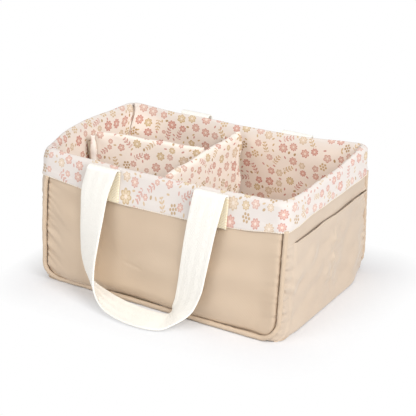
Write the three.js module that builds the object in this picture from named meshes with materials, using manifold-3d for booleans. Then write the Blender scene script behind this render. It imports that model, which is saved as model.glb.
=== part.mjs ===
// A fabric nursery caddy: a soft padded box with printed lining, two strap handles and two lift-out dividers.
// Millimetres, +Z up. The origin is on the floor under the middle of the box, +X runs to the right end
// and -Y faces the front.
import * as THREE from 'three';
import { mergeVertices } from 'three/addons/utils/BufferGeometryUtils.js';
import Module from 'manifold-3d';

const wasm = await Module();
wasm.setup();

// Box: plan of the outer fabric at the floor and at the rim, and its soft shape
const baseLength = 328;
const baseWidth = 224;
const rimLength = 334;
const rimWidth = 198;
const rimHeight = 165;
const cornerRadius = 12;
const longCrown = 4;
const endCrown = 1;
const tuckDepth = 6;
const tuckHeight = 22;
const longRimSag = 4;
const endRimSag = 1.5;
const sagStart = 60;

// Layers of a wall, from the outside in
const panelThickness = 1.2;
const foamThickness = 8;
const liningThickness = 1.4;
const layerGap = 0.3;

// Printed cuff: how far it comes down from the rim at the corners, and how much lower it hangs in mid side
const cuffDepth = 32;
const longHemSag = 7;
const endHemSag = 0.5;

// Base
const boardThickness = 3;
const matThickness = 3.2;

// Piping: round cord round the front and the back panel
const pipeRadius = 2.4;
const pipeStandOff = 1.4;
const pipeAngle = 28;
const pipeHeight = 3;
const pipeCornerRadius = 22;
const pipeClearance = 0.8;

// End pockets
const pocketDrop = 53;
const pocketThickness = 1.2;
const pocketHemWidth = 11;
const pocketHemThickness = 2;
const pocketSlack = 7.5;
const pocketSewnHeight = 20;
const pocketFullHeight = 80;

// Handles
const strapWidth = 40;
const strapThickness = 2.2;
const handleSpacing = 143;
const handleShift = 3.5;
const foldRadius = 4.5;
const foldDrop = 7;
const loopClearance = 4;

// Dividers
const dividerCore = 6;
const dividerCover = 0.7;
const dividerDrop = 7;
const crossDividerX = 0;
const longDividerLeftY = -6;
const longDividerRightY = 16;
const flapThickness = 1.2;
const flapWidth = 33;
const flapOverhang = 6;
const flapHeight = 48;
const tapeThickness = 0.9;
const tapeWidth = 20;
const tapeHeight = 38;
const tapeDrop = 24;
const flapMargin = 5;

// Sizes that follow from these
const hemHeight = rimHeight - cuffDepth;
const pocketHeight = rimHeight - pocketDrop;
const tapeTop = rimHeight - tapeDrop;
const foamOuter = panelThickness + layerGap;
const foamInner = foamOuter + foamThickness;
const wallDepth = foamInner + layerGap + liningThickness;
const cuffInner = -layerGap;
const cuffOuter = cuffInner - liningThickness;
const rollDepth = (wallDepth + cuffOuter) / 2;
const rollRadius = (wallDepth - cuffOuter) / 2;
const rollHeight = rimHeight - rollRadius;
const boardBottom = panelThickness + layerGap;
const matBottom = boardBottom + boardThickness + layerGap;
const dividerBottom = matBottom + matThickness + layerGap;
const dividerTop = rimHeight - dividerDrop;
const dividerThickness = dividerCore + 2 * layerGap + 2 * dividerCover;
const strapDepth = cuffOuter - layerGap - strapThickness / 2;
const foldHeight = rimHeight - foldDrop;

const halfLength = (z) => THREE.MathUtils.lerp(baseLength, rimLength, z / rimHeight) / 2;
const halfWidth = (z) => THREE.MathUtils.lerp(baseWidth, rimWidth, z / rimHeight) / 2;
const tuck = (z) => tuckDepth * Math.max(0, 1 - z / tuckHeight) ** 2;
const middle = (s) => 4 * s * (1 - s);

// The four sides, each with its outward direction and the direction that runs along it
const sides = {
  front: { out: [0, -1], along: [1, 0], long: true },
  right: { out: [1, 0], along: [0, 1], long: false },
  back: { out: [0, 1], along: [-1, 0], long: true },
  left: { out: [-1, 0], along: [0, -1], long: false },
};

// Distance from the middle of a side to the start of its corner, and out to the corner's centre
const reachAlong = (side, z) => (side.long ? halfLength(z) : halfWidth(z)) - cornerRadius;
const reachOut = (side, z) => (side.long ? halfWidth(z) : halfLength(z)) - cornerRadius;

// How far the outer fabric stands proud of the straight wall
const swell = (side, station, z) => {
  const crown = side.long ? longCrown : endCrown;
  const share = THREE.MathUtils.clamp(z / rollHeight, 0, 1);
  return crown * middle(station.s) * Math.sin(Math.PI * share) - tuck(z);
};

// A point of a wall. station.s runs from 0 to 1 between the corners and station.turn goes round a corner.
// p.depth is measured inwards from the outer fabric, and p.swell is how much of the outer shape it takes.
const wallPoint = (side, station, p) => {
  const rise = THREE.MathUtils.clamp((p.z - sagStart) / (rollHeight - sagStart), 0, 1);
  const rimSag = (side.long ? longRimSag : endRimSag) * rise;
  const z = p.z - middle(station.s) * (p.sag ?? rimSag);
  const radius = cornerRadius - p.depth + (p.swell ?? 0) * swell(side, station, z);
  const along = THREE.MathUtils.lerp(-1, 1, station.s) * reachAlong(side, z) + radius * Math.sin(station.turn);
  const out = reachOut(side, z) + radius * Math.cos(station.turn);
  return new THREE.Vector3(
    side.along[0] * along + side.out[0] * out,
    side.along[1] * along + side.out[1] * out,
    z,
  );
};

// Stations along a side, round both its corners as far as turnLimit
const cornerSteps = 3;
const wallStations = (side, turnLimit) => {
  const spans = side.long ? 8 : 6;
  const list = [];
  for (let i = 0; i < cornerSteps; i++) list.push({ s: 0, turn: -turnLimit * (1 - i / cornerSteps) });
  for (let i = 0; i <= spans; i++) list.push({ s: i / spans, turn: 0 });
  for (let i = 1; i <= cornerSteps; i++) list.push({ s: 1, turn: turnLimit * i / cornerSteps });
  return list;
};

// Stations on the straight part of a side, between two distances from its middle
const spanStations = (side, from, to, z, spans) => {
  const reach = reachAlong(side, z);
  const list = [];
  for (let i = 0; i <= spans; i++) {
    const along = THREE.MathUtils.lerp(from, to, i / spans);
    list.push({ s: (along / reach + 1) / 2, turn: 0 });
  }
  return list;
};

// A closed solid through a row of rings that have as many points each. Caps close an open row.
// Each quad is split by the diagonal that rises along the row, so facing layers are split alike.
const solidFromRings = (rings, capTriangles) => {
  const count = rings[0].length;
  const points = rings.flat();
  const triangles = [];
  const rows = capTriangles ? rings.length - 1 : rings.length;
  for (let i = 0; i < rows; i++) {
    const a = i * count;
    const b = ((i + 1) % rings.length) * count;
    for (let j = 0; j < count; j++) {
      const k = (j + 1) % count;
      if (points[a + j].z <= points[a + k].z) triangles.push([a + j, b + j, b + k], [a + j, b + k, a + k]);
      else triangles.push([a + j, b + j, a + k], [b + j, b + k, a + k]);
    }
  }
  if (capTriangles) {
    const last = (rings.length - 1) * count;
    for (const [p, q, r] of capTriangles) triangles.push([p, q, r], [last + p, last + r, last + q]);
  }
  let volume = 0;
  for (const [p, q, r] of triangles) volume += points[p].dot(points[q].clone().cross(points[r]));
  const geometry = new THREE.BufferGeometry();
  geometry.setAttribute('position', new THREE.Float32BufferAttribute(points.flatMap((p) => p.toArray()), 3));
  geometry.setIndex(triangles.flatMap(([p, q, r]) => (volume < 0 ? [p, r, q] : [p, q, r])));
  return geometry;
};

// A wall layer: a closed profile of wall points carried along the stations
const wallSolid = (side, stations, profile, extraSwell) => {
  const outline = profile.map((p) => new THREE.Vector2(p.depth, p.z));
  const caps = THREE.ShapeUtils.triangulateShape(outline, []);
  const clockwise = THREE.ShapeUtils.isClockWise(outline);
  const oriented = caps.map(([p, q, r]) => (clockwise ? [p, r, q] : [p, q, r]));
  const rings = stations.map((station) => profile.map((p) => {
    const extra = extraSwell ? extraSwell(station, p.z) : 0;
    return wallPoint(side, station, { ...p, depth: p.depth - extra });
  }));
  return solidFromRings(rings, oriented);
};

// Heights at which the outer layers have a row of points, denser in the soft bottom edge
const tuckShares = [0.27, 0.45, 0.68, 1];
const wallShares = [0.28, 0.47, 0.66, 0.85];
const levelStep = 2;
const wallLevels = (from, to) => {
  const low = tuckShares.map((share) => share * tuckHeight);
  const high = wallShares.map((share) => share * rollHeight).filter((z) => z > tuckHeight + levelStep);
  const inner = [...low, ...high].filter((z) => z > from + levelStep && z < to - 2 * levelStep);
  return [from, ...inner, to];
};

const arcPoints = (depth, z, radius, fromAngle, toAngle, steps, extra) => {
  const list = [];
  for (let i = 0; i <= steps; i++) {
    const angle = THREE.MathUtils.lerp(fromAngle, toAngle, i / steps);
    list.push({ depth: depth + radius * Math.cos(angle), z: z + radius * Math.sin(angle), ...extra });
  }
  return list;
};

// Joins and cuts
const toManifold = (geometry) => {
  const bare = geometry.clone();
  for (const name of ['normal', 'uv']) bare.deleteAttribute(name);
  const merged = mergeVertices(bare, 1e-4);
  const vertProperties = new Float32Array(merged.attributes.position.array);
  const triVerts = new Uint32Array(merged.index.array);
  return new wasm.Manifold(new wasm.Mesh({ numProp: 3, vertProperties, triVerts }));
};

const fromManifold = (solid) => {
  const mesh = solid.getMesh();
  const geometry = new THREE.BufferGeometry();
  geometry.setAttribute('position', new THREE.Float32BufferAttribute(mesh.vertProperties, 3));
  geometry.setIndex(new THREE.Uint32BufferAttribute(mesh.triVerts, 1));
  return geometry;
};

// Finishes
const finishes = {
  shell: { color: 0xd9c3a9, roughness: 0.55 },
  print: { color: 0xf2e9e2, roughness: 0.85 },
  webbing: { color: 0xfaf6ea, roughness: 0.9 },
  foam: { color: 0xf4efe2, roughness: 0.95 },
  board: { color: 0xb8a383, roughness: 0.9 },
  tape: { color: 0xefe6d6, roughness: 0.95 },
};

const caddy = new THREE.Group();

const addPiece = (parent, name, geometry, finish) => {
  const material = new THREE.MeshStandardMaterial({ ...finishes[finish], metalness: 0 });
  const mesh = new THREE.Mesh(geometry, material);
  mesh.name = name;
  parent.add(mesh);
  return mesh;
};

// Piping path on the outer fabric: down one corner, along the bottom of the panel and up the other corner
const pipeTurn = THREE.MathUtils.degToRad(pipeAngle);

const pipePath = (side, topHeight, depth) => {
  const straight = reachAlong(side, pipeHeight);
  const reach = straight + cornerRadius * pipeTurn;
  const bend = reach - pipeCornerRadius;
  const flat = [];
  const column = [1, 0.75, 0.5, 0.25];
  const low = pipeHeight + pipeCornerRadius;
  for (const t of column) flat.push([reach, THREE.MathUtils.lerp(low, topHeight, t)]);
  for (let i = 0; i <= 6; i++) {
    const angle = i / 6 * Math.PI / 2;
    flat.push([bend + pipeCornerRadius * Math.cos(angle), low - pipeCornerRadius * Math.sin(angle)]);
  }
  const run = 5;
  for (let i = 1; i < run; i++) flat.push([bend * (1 - i / run), pipeHeight]);
  const mirrored = flat.map(([u, z]) => [-u, z]);
  const route = [...mirrored, [0, pipeHeight], ...flat.reverse()];
  return route.map(([u, z]) => {
    const over = Math.max(0, Math.abs(u) - straight);
    const turn = Math.sign(u) * over / cornerRadius;
    const s = (THREE.MathUtils.clamp(u / straight, -1, 1) + 1) / 2;
    return wallPoint(side, { s, turn }, { depth, z, swell: 1, sag: 0 });
  });
};

const pipeSolid = (points, radius, edges, steps) => {
  const round = new THREE.Shape();
  for (let i = 0; i < edges; i++) {
    const angle = (i + 0.5) / edges * 2 * Math.PI;
    const x = radius * Math.cos(angle);
    const y = radius * Math.sin(angle);
    if (i === 0) round.moveTo(x, y);
    else round.lineTo(x, y);
  }
  round.closePath();
  const curve = new THREE.CatmullRomCurve3(points, false, 'centripetal');
  return new THREE.ExtrudeGeometry(round, { steps, extrudePath: curve, bevelEnabled: false });
};

// Outer fabric: one ring round the box, cut along both pipings into the front, back and end panels
const panelTop = rollHeight;
const skinProfile = () => {
  const levels = wallLevels(boardBottom, panelTop);
  const outer = levels.map((z) => ({ depth: 0, z, swell: 1 }));
  const inner = levels.map((z) => ({ depth: panelThickness, z, swell: 1 })).reverse();
  return [...outer, ...inner];
};

const skinRing = () => {
  const profile = skinProfile();
  const rings = [];
  for (const side of Object.values(sides)) {
    const stations = wallStations(side, Math.PI / 4).slice(0, -1);
    for (const station of stations) rings.push(profile.map((p) => wallPoint(side, station, p)));
  }
  return solidFromRings(rings, null);
};

const buildPanels = () => {
  const cutRadius = pipeRadius + pipeClearance;
  let skin = toManifold(skinRing());
  for (const name of ['front', 'back']) {
    const seam = pipePath(sides[name], rimHeight + 2 * cutRadius, panelThickness / 2);
    skin = skin.subtract(toManifold(pipeSolid(seam, cutRadius, 10, 52)));
    const cord = pipePath(sides[name], hemHeight - layerGap, -pipeStandOff);
    addPiece(caddy, `${name}_piping`, pipeSolid(cord, pipeRadius, 6, 46), 'shell');
  }
  const panels = skin.decompose().sort((a, b) => b.volume() - a.volume()).slice(0, 4);
  for (const panel of panels) {
    const box = panel.boundingBox();
    const x = (box.min[0] + box.max[0]) / 2;
    const y = (box.min[1] + box.max[1]) / 2;
    const ends = Math.abs(x) > Math.abs(y);
    const name = ends ? (x > 0 ? 'right_end' : 'left_end') : (y > 0 ? 'back' : 'front');
    addPiece(caddy, `${name}_panel`, fromManifold(panel), 'shell');
  }
};

// Foam sheet in a wall, rounded over at the rim
const mitre = Math.PI / 4 - layerGap / cornerRadius;
const foamProfile = () => {
  const bottom = matBottom;
  const levels = wallLevels(bottom, rollHeight);
  const outer = levels.map((z) => ({ depth: foamOuter, z, swell: 1 }));
  const cap = arcPoints((foamOuter + foamInner) / 2, rollHeight, foamThickness / 2, Math.PI, 0, 6, { swell: 0 });
  return [...outer, ...cap.slice(1, -1), { depth: foamInner, z: rollHeight }, { depth: foamInner, z: bottom }];
};

// Lining of a wall: up the inside, over the rim and down the outside as the cuff
const liningProfile = (side) => {
  const hem = { z: hemHeight, swell: 1, sag: side.long ? longHemSag : endHemSag };
  const between = { z: (hemHeight + rollHeight) / 2, swell: 1 };
  between.sag = (hem.sag + (side.long ? longRimSag : endRimSag)) / 2;
  const over = arcPoints(rollDepth, rollHeight, rollRadius, 0, Math.PI, 6, { swell: 0 });
  const under = arcPoints(rollDepth, rollHeight, rollRadius - liningThickness, Math.PI, 0, 6, { swell: 0 });
  over[over.length - 1].swell = 1;
  under[0].swell = 1;
  return [
    { depth: wallDepth, z: matBottom },
    ...over,
    { depth: cuffOuter, ...between },
    { depth: cuffOuter, ...hem },
    { depth: cuffInner, ...hem },
    { depth: cuffInner, ...between },
    ...under,
    { depth: wallDepth - liningThickness, z: matBottom },
  ];
};

const buildWalls = () => {
  for (const [name, side] of Object.entries(sides)) {
    const stations = wallStations(side, mitre);
    addPiece(caddy, `${name}_foam`, wallSolid(side, stations, foamProfile()), 'foam');
    addPiece(caddy, `${name}_lining`, wallSolid(side, stations, liningProfile(side)), 'print');
  }
};

// Slip pocket on an end: sewn in at its sides and bottom, loose at its folded top hem
const pocketProfile = () => {
  const outerFace = cuffInner - pocketThickness;
  const hemFace = cuffInner - pocketHemThickness;
  const hemBottom = pocketHeight - pocketHemWidth;
  const levels = [...wallLevels(boardBottom, hemBottom), pocketHeight];
  const inner = levels.map((z) => ({ depth: cuffInner, z, swell: 1 }));
  const outer = levels.slice(0, -1).map((z) => ({ depth: outerFace, z, swell: 1 })).reverse();
  const hem = [{ depth: hemFace, z: pocketHeight, swell: 1 }, { depth: hemFace, z: hemBottom + 0.5, swell: 1 }];
  return [...inner, ...hem, ...outer];
};

const pocketOpening = (station, z) => {
  const across = 1 - (2 * station.s - 1) ** 4;
  return pocketSlack * across * THREE.MathUtils.smoothstep(z, pocketSewnHeight, pocketFullHeight);
};

const buildPockets = () => {
  const clear = (pipeRadius + layerGap) / (cornerRadius + pipeStandOff);
  const turnLimit = Math.PI / 2 - pipeTurn - Math.asin(clear) - layerGap / cornerRadius;
  for (const name of ['left', 'right']) {
    const stations = wallStations(sides[name], turnLimit);
    addPiece(caddy, `${name}_pocket`, wallSolid(sides[name], stations, pocketProfile(), pocketOpening), 'shell');
  }
};

// Flat rounded plates of the base
const plate = (inset, bottom, thickness) => {
  const x = halfLength(bottom) - inset;
  const y = halfWidth(bottom) - inset;
  const r = Math.max(1, cornerRadius - inset);
  const shape = new THREE.Shape();
  shape.moveTo(-x + r, -y);
  shape.absarc(x - r, -y + r, r, -Math.PI / 2, 0);
  shape.absarc(x - r, y - r, r, 0, Math.PI / 2);
  shape.absarc(-x + r, y - r, r, Math.PI / 2, Math.PI);
  shape.absarc(-x + r, -y + r, r, Math.PI, 1.5 * Math.PI);
  const geometry = new THREE.ExtrudeGeometry(shape, { depth: thickness, bevelEnabled: false, curveSegments: 4 });
  return geometry.translate(0, 0, bottom);
};

const buildBase = () => {
  addPiece(caddy, 'base_panel', plate(tuckDepth, 0, panelThickness), 'shell');
  addPiece(caddy, 'base_board', plate(tuckDepth + foamOuter, boardBottom, boardThickness), 'board');
  addPiece(caddy, 'base_mat', plate(wallDepth + layerGap, matBottom, matThickness), 'print');
};

// Handle route, from the left fold to the right fold as seen from outside. x is a share of half the spacing,
// drop a share of the hanging height, gap the space behind the strap's back edge, and twist turns the strap
// from facing outwards (0 and 180) to lying flat (90), in degrees.
const handleRoute = [
  { x: -1.0, drop: 0, gap: 0, twist: 0 },
  { x: -1.09, drop: 0.175, gap: 7.7, twist: 7 },
  { x: -1.16, drop: 0.36, gap: 4.9, twist: 16 },
  { x: -1.175, drop: 0.54, gap: 4.3, twist: 25 },
  { x: -1.165, drop: 0.74, gap: 4.1, twist: 36 },
  { x: -1.06, drop: 0.885, gap: 4.3, twist: 48 },
  { x: -0.75, drop: 0.965, gap: 6.9, twist: 70 },
  { x: -0.3, drop: 0.995, gap: 12, twist: 89 },
  { x: 0.15, drop: 1, gap: 13.5, twist: 92 },
  { x: 0.51, drop: 0.965, gap: 8.5, twist: 106 },
  { x: 0.72, drop: 0.87, gap: 4.6, twist: 134 },
  { x: 0.79, drop: 0.735, gap: 5.2, twist: 160 },
  { x: 0.81, drop: 0.585, gap: 6.9, twist: 175 },
  { x: 0.84, drop: 0.43, gap: 7.8, twist: 180 },
  { x: 0.9, drop: 0.235, gap: 9.1, twist: 180 },
  { x: 1.0, drop: 0, gap: 0, twist: 180 },
];

// The axis on which the strap turns where it folds over: a line along X, outside the sewn ends
const tabOut = (side) => reachOut(side, foldHeight) + cornerRadius - strapDepth;
const foldAxisOut = (side) => tabOut(side) + foldRadius;

// Both edges of the hanging strap, as seen from the front side
const strapEdges = (side) => {
  const hang = foldHeight - loopClearance;
  const back = [];
  const front = [];
  for (const p of handleRoute) {
    const z = foldHeight - p.drop * hang;
    const along = handleShift + p.x * handleSpacing / 2;
    const twist = THREE.MathUtils.degToRad(p.twist);
    const station = { s: (along / reachAlong(side, z) + 1) / 2, turn: 0 };
    const wall = reachOut(side, z) + cornerRadius + swell(side, station, z);
    const foldLeg = foldAxisOut(side) + foldRadius;
    const out = p.drop === 0 ? foldLeg : wall + p.gap + strapWidth / 2 * Math.sin(twist);
    const centre = new THREE.Vector3(along, -out, z - (p.drop === 0 ? layerGap : 0));
    const across = new THREE.Vector3(Math.cos(twist), -Math.sin(twist), 0).multiplyScalar(strapWidth / 2);
    back.push(centre.clone().sub(across));
    front.push(centre.clone().add(across));
  }
  return [back, front];
};

const strapSteps = 45;
const strapSolid = (side) => {
  const [back, front] = strapEdges(side).map((list) => new THREE.CatmullRomCurve3(list, false, 'centripetal'));
  const centres = [];
  const acrosses = [];
  for (let i = 0; i <= strapSteps; i++) {
    const a = back.getPoint(i / strapSteps);
    const b = front.getPoint(i / strapSteps);
    centres.push(a.clone().add(b).multiplyScalar(0.5));
    acrosses.push(b.sub(a).normalize().multiplyScalar(strapWidth / 2));
  }
  const rings = centres.map((centre, i) => {
    const run = centres[Math.min(i + 1, strapSteps)].clone().sub(centres[Math.max(i - 1, 0)]);
    if (i === 0) run.set(0, 0, -1);
    if (i === strapSteps) run.set(0, 0, 1);
    const half = run.cross(acrosses[i]).normalize().multiplyScalar(strapThickness / 2);
    const corner = (u, v) => centre.clone().addScaledVector(acrosses[i], u).addScaledVector(half, v);
    return [corner(-1, -1), corner(1, -1), corner(1, 1), corner(-1, 1)];
  });
  return solidFromRings(rings, [[0, 1, 2], [0, 2, 3]]);
};

// The fold: a half turn of the strap over the axis
const foldSolid = (side, centreAlong) => {
  const shape = new THREE.Shape();
  const outer = foldRadius + strapThickness / 2;
  shape.absarc(0, 0, outer, 0, Math.PI, false);
  shape.absarc(0, 0, outer - strapThickness, Math.PI, 0, true);
  const geometry = new THREE.ExtrudeGeometry(shape, { depth: strapWidth, bevelEnabled: false, curveSegments: 6 });
  geometry.rotateX(Math.PI / 2).rotateZ(Math.PI / 2);
  return geometry.translate(centreAlong - strapWidth / 2, -foldAxisOut(side), foldHeight);
};

// The sewn end: flat on the cuff from its hem to the fold
const tabSolid = (side, centreAlong) => {
  const from = centreAlong - strapWidth / 2;
  const stations = spanStations(side, from, from + strapWidth, hemHeight, 3);
  const outer = strapDepth - strapThickness / 2;
  const inner = strapDepth + strapThickness / 2;
  const bottom = { z: hemHeight, swell: 1, sag: longHemSag };
  const top = { z: foldHeight - layerGap, sag: 0 };
  const profile = [
    { depth: outer, ...bottom },
    { depth: inner, ...bottom },
    { depth: inner, ...top },
    { depth: outer, ...top },
  ];
  return wallSolid(side, stations, profile);
};

const buildHandles = () => {
  for (const name of ['front', 'back']) {
    const group = new THREE.Group();
    if (name === 'back') group.rotation.z = Math.PI;
    caddy.add(group);
    const side = sides.front;
    for (const [end, sign] of [['left', -1], ['right', 1]]) {
      const centre = handleShift + sign * handleSpacing / 2;
      addPiece(group, `${name}_handle_${end}_end`, tabSolid(side, centre), 'webbing');
      addPiece(group, `${name}_handle_${end}_fold`, foldSolid(side, centre), 'webbing');
    }
    addPiece(group, `${name}_handle_strap`, strapSolid(side), 'webbing');
  }
};

// Dividers: a foam core with a rounded top, in a cover that is open at the bottom
const archShape = (half, bottom, top) => {
  const shape = new THREE.Shape();
  shape.moveTo(-half, bottom);
  shape.lineTo(half, bottom);
  shape.absarc(0, top - half, half, 0, Math.PI, false);
  shape.closePath();
  return shape;
};

const sleeveShape = (half, wall, bottom, top) => {
  const shape = new THREE.Shape();
  shape.moveTo(half - wall, bottom);
  shape.lineTo(half, bottom);
  shape.absarc(0, top - half, half, 0, Math.PI, false);
  shape.lineTo(-half, bottom);
  shape.lineTo(wall - half, bottom);
  shape.absarc(0, top - half, half - wall, Math.PI, 0, true);
  shape.closePath();
  return shape;
};

// A shape in the thickness and height of a divider, carried along its length from start to end on Y
const alongDivider = (shape, start, end) => {
  const settings = { depth: end - start, bevelEnabled: false, curveSegments: 6 };
  return new THREE.ExtrudeGeometry(shape, settings).rotateX(Math.PI / 2).translate(0, end, 0);
};

const slab = (x, y, z) => {
  const geometry = new THREE.BoxGeometry(x[1] - x[0], y[1] - y[0], z[1] - z[0]);
  return geometry.translate((x[0] + x[1]) / 2, (y[0] + y[1]) / 2, (z[0] + z[1]) / 2);
};

const flapTop = tapeTop + flapMargin;
const flapSpan = [flapTop - flapHeight, flapTop];
const tapeSpan = [tapeTop - tapeHeight, tapeTop];

// Narrowest half opening between loop tapes on two facing walls, over the tape's height
const openHalf = (half) => {
  const clear = wallDepth + layerGap + tapeThickness + layerGap;
  return Math.min(half(tapeSpan[0]), half(tapeSpan[1]), half(rollHeight) + tapeThickness) - clear;
};

const hookInner = tapeThickness + layerGap;
const flapInner = hookInner + flapThickness;
const coverInset = flapInner + layerGap;

// The cross divider's flaps lie on its left side, from just past its right face
const crossFlapX = [flapOverhang - flapWidth, flapOverhang];
const crossFlapMiddle = flapOverhang - flapWidth / 2;
const crossHookX = [crossFlapMiddle - tapeWidth / 2, crossFlapMiddle + tapeWidth / 2];

const buildCrossDivider = () => {
  const group = new THREE.Group();
  group.position.x = crossDividerX;
  caddy.add(group);
  const reach = openHalf(halfWidth);
  const coverEnd = reach - coverInset;
  const half = dividerThickness / 2;
  const core = archShape(dividerCore / 2, dividerBottom, dividerTop - dividerCover - layerGap);
  const sleeve = sleeveShape(half, dividerCover, dividerBottom, dividerTop);
  addPiece(group, 'cross_divider_core', alongDivider(core, -coverEnd, coverEnd), 'foam');
  addPiece(group, 'cross_divider_cover', alongDivider(sleeve, -coverEnd, coverEnd), 'print');
  for (const [end, sign] of [['front', -1], ['back', 1]]) {
    const band = (near, far) => [sign * far, sign * near].sort((a, b) => a - b);
    const flap = slab(crossFlapX, band(reach - flapInner, reach - hookInner), flapSpan);
    addPiece(group, `cross_divider_${end}_flap`, flap, 'print');
    const hook = slab(crossHookX, band(reach - tapeThickness, reach), tapeSpan);
    addPiece(group, `cross_divider_${end}_hook_tape`, hook, 'tape');
  }
  const seat = -half - layerGap;
  const tapeY = [longDividerRightY - flapOverhang, longDividerRightY - flapOverhang + flapWidth];
  addPiece(group, 'cross_divider_loop_tape', slab([seat - tapeThickness, seat], tapeY, tapeSpan), 'tape');
};

const buildLongDivider = () => {
  const leftReach = -openHalf(halfLength);
  const rightReach = crossDividerX - dividerThickness / 2 - 2 * layerGap - tapeThickness;
  const skew = Math.atan2(longDividerRightY - longDividerLeftY, rightReach - leftReach);
  const half = dividerThickness / 2;
  const endClear = coverInset / Math.cos(skew) + half * Math.tan(skew);
  const group = new THREE.Group();
  group.position.set(leftReach, longDividerLeftY, 0);
  group.rotation.z = skew - Math.PI / 2;
  caddy.add(group);
  const length = (rightReach - leftReach) / Math.cos(skew);
  const core = archShape(dividerCore / 2, dividerBottom, dividerTop - dividerCover - layerGap);
  const sleeve = sleeveShape(half, dividerCover, dividerBottom, dividerTop);
  addPiece(group, 'long_divider_core', alongDivider(core, endClear, length - endClear), 'foam');
  addPiece(group, 'long_divider_cover', alongDivider(sleeve, endClear, length - endClear), 'print');
  const ends = [
    { end: 'left', x: leftReach, sign: 1, y: longDividerLeftY - flapOverhang },
    { end: 'right', x: rightReach, sign: -1, y: longDividerRightY - flapOverhang },
  ];
  for (const { end, x, sign, y } of ends) {
    const band = (near, far) => [x + sign * near, x + sign * far].sort((a, b) => a - b);
    const flap = slab(band(hookInner, flapInner), [y, y + flapWidth], flapSpan);
    addPiece(caddy, `long_divider_${end}_flap`, flap, 'print');
    const middleY = y + flapWidth / 2;
    const hook = slab(band(0, tapeThickness), [middleY - tapeWidth / 2, middleY + tapeWidth / 2], tapeSpan);
    addPiece(caddy, `long_divider_${end}_hook_tape`, hook, 'tape');
  }
};

// Loop tape on the lining, following the wall
const wallTape = (side, from, to) => {
  const stations = spanStations(side, from, to, tapeTop, 1);
  const near = wallDepth + layerGap;
  const far = near + tapeThickness;
  const profile = [
    { depth: near, z: tapeSpan[0], sag: 0 },
    { depth: far, z: tapeSpan[0], sag: 0 },
    { depth: far, z: tapeSpan[1], sag: 0 },
    { depth: near, z: tapeSpan[1], sag: 0 },
  ];
  return wallSolid(side, stations, profile);
};

const buildWallTapes = () => {
  const half = flapWidth / 2;
  for (const name of ['front', 'back']) {
    const middleAlong = sides[name].along[0] * (crossDividerX + crossFlapMiddle);
    addPiece(caddy, `${name}_loop_tape`, wallTape(sides[name], middleAlong - half, middleAlong + half), 'tape');
  }
  const end = flapOverhang - longDividerLeftY;
  addPiece(caddy, 'left_loop_tape', wallTape(sides.left, end - flapWidth, end), 'tape');
};

buildBase();
buildPanels();
buildWalls();
buildPockets();
buildHandles();
buildWallTapes();
buildCrossDivider();
buildLongDivider();

export default caddy;
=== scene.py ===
"""Looks of a soft fabric nursery caddy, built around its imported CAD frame.

The padded walls, the turned-over printed lining, the dividers, the end pockets and the webbing handles are
surfaces worked out with numpy from the sizes of the CAD model. Sizes are in millimetres here, and only the
finished meshes are in metres. +X runs to the right end, -Y faces the front, +Z is up.
"""

from __future__ import annotations

import logging
import math
from collections.abc import Callable
from dataclasses import dataclass
from enum import Enum
from functools import cache, partial
from typing import Any, ClassVar

import bpy
import numpy as np
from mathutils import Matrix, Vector


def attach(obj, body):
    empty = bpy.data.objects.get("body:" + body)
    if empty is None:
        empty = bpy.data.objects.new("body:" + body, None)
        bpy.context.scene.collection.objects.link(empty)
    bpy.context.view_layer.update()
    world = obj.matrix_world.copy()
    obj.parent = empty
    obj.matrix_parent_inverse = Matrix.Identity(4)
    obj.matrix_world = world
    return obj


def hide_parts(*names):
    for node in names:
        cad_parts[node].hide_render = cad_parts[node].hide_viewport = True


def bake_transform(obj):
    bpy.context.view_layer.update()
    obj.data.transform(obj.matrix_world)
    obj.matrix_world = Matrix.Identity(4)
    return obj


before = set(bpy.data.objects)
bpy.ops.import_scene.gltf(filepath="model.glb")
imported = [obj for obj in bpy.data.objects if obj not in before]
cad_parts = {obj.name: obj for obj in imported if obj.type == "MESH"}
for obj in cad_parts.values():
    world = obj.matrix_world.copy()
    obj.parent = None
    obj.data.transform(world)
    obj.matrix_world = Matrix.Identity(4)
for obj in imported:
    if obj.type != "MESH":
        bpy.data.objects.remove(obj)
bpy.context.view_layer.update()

LOG = logging.getLogger("caddy")
MM = 0.001
QUARTER = math.pi / 2.0
ROUND = 2.0 * math.pi
CLOTH_MAP = "cloth"
Array = np.ndarray
Tree = bpy.types.NodeTree
Adder = Callable[..., Any]
Piece = bpy.types.Object
Material = bpy.types.Material


# Small mathematics


def ease_line(value: Array, low: float, high: float) -> Array:
    """Straight step from 0 at low to 1 at high."""
    return np.clip((np.asarray(value, float) - low) / (high - low), 0.0, 1.0)


def ease(value: Array, low: float, high: float) -> Array:
    """Smooth step from 0 at low to 1 at high: t^2 (3 - 2 t)."""
    t = ease_line(value, low, high)
    return t * t * (3.0 - 2.0 * t)


def drift(u: Array, v: Array, wavelength: float, seed: int) -> Array:
    """Soft random swells: a sum of nine cosine waves in random directions.

    Args:
        u: First cloth coordinate.
        v: Second cloth coordinate.
        wavelength: Typical distance between two swells.
        seed: Number that fixes the random waves.

    Returns:
        Heights of about -1.5 to 1.5.
    """
    waves = 9
    rng = np.random.default_rng(seed)
    angle, phase = rng.uniform(0.0, ROUND, (2, waves))
    rate = ROUND / (wavelength * rng.uniform(0.7, 1.5, waves))
    u, v = np.broadcast_arrays(np.asarray(u, float), np.asarray(v, float))
    wave = u[..., None] * np.cos(angle) + v[..., None] * np.sin(angle)
    return np.cos(rate * wave + phase).sum(-1) / math.sqrt(waves / 2.0)


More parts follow.
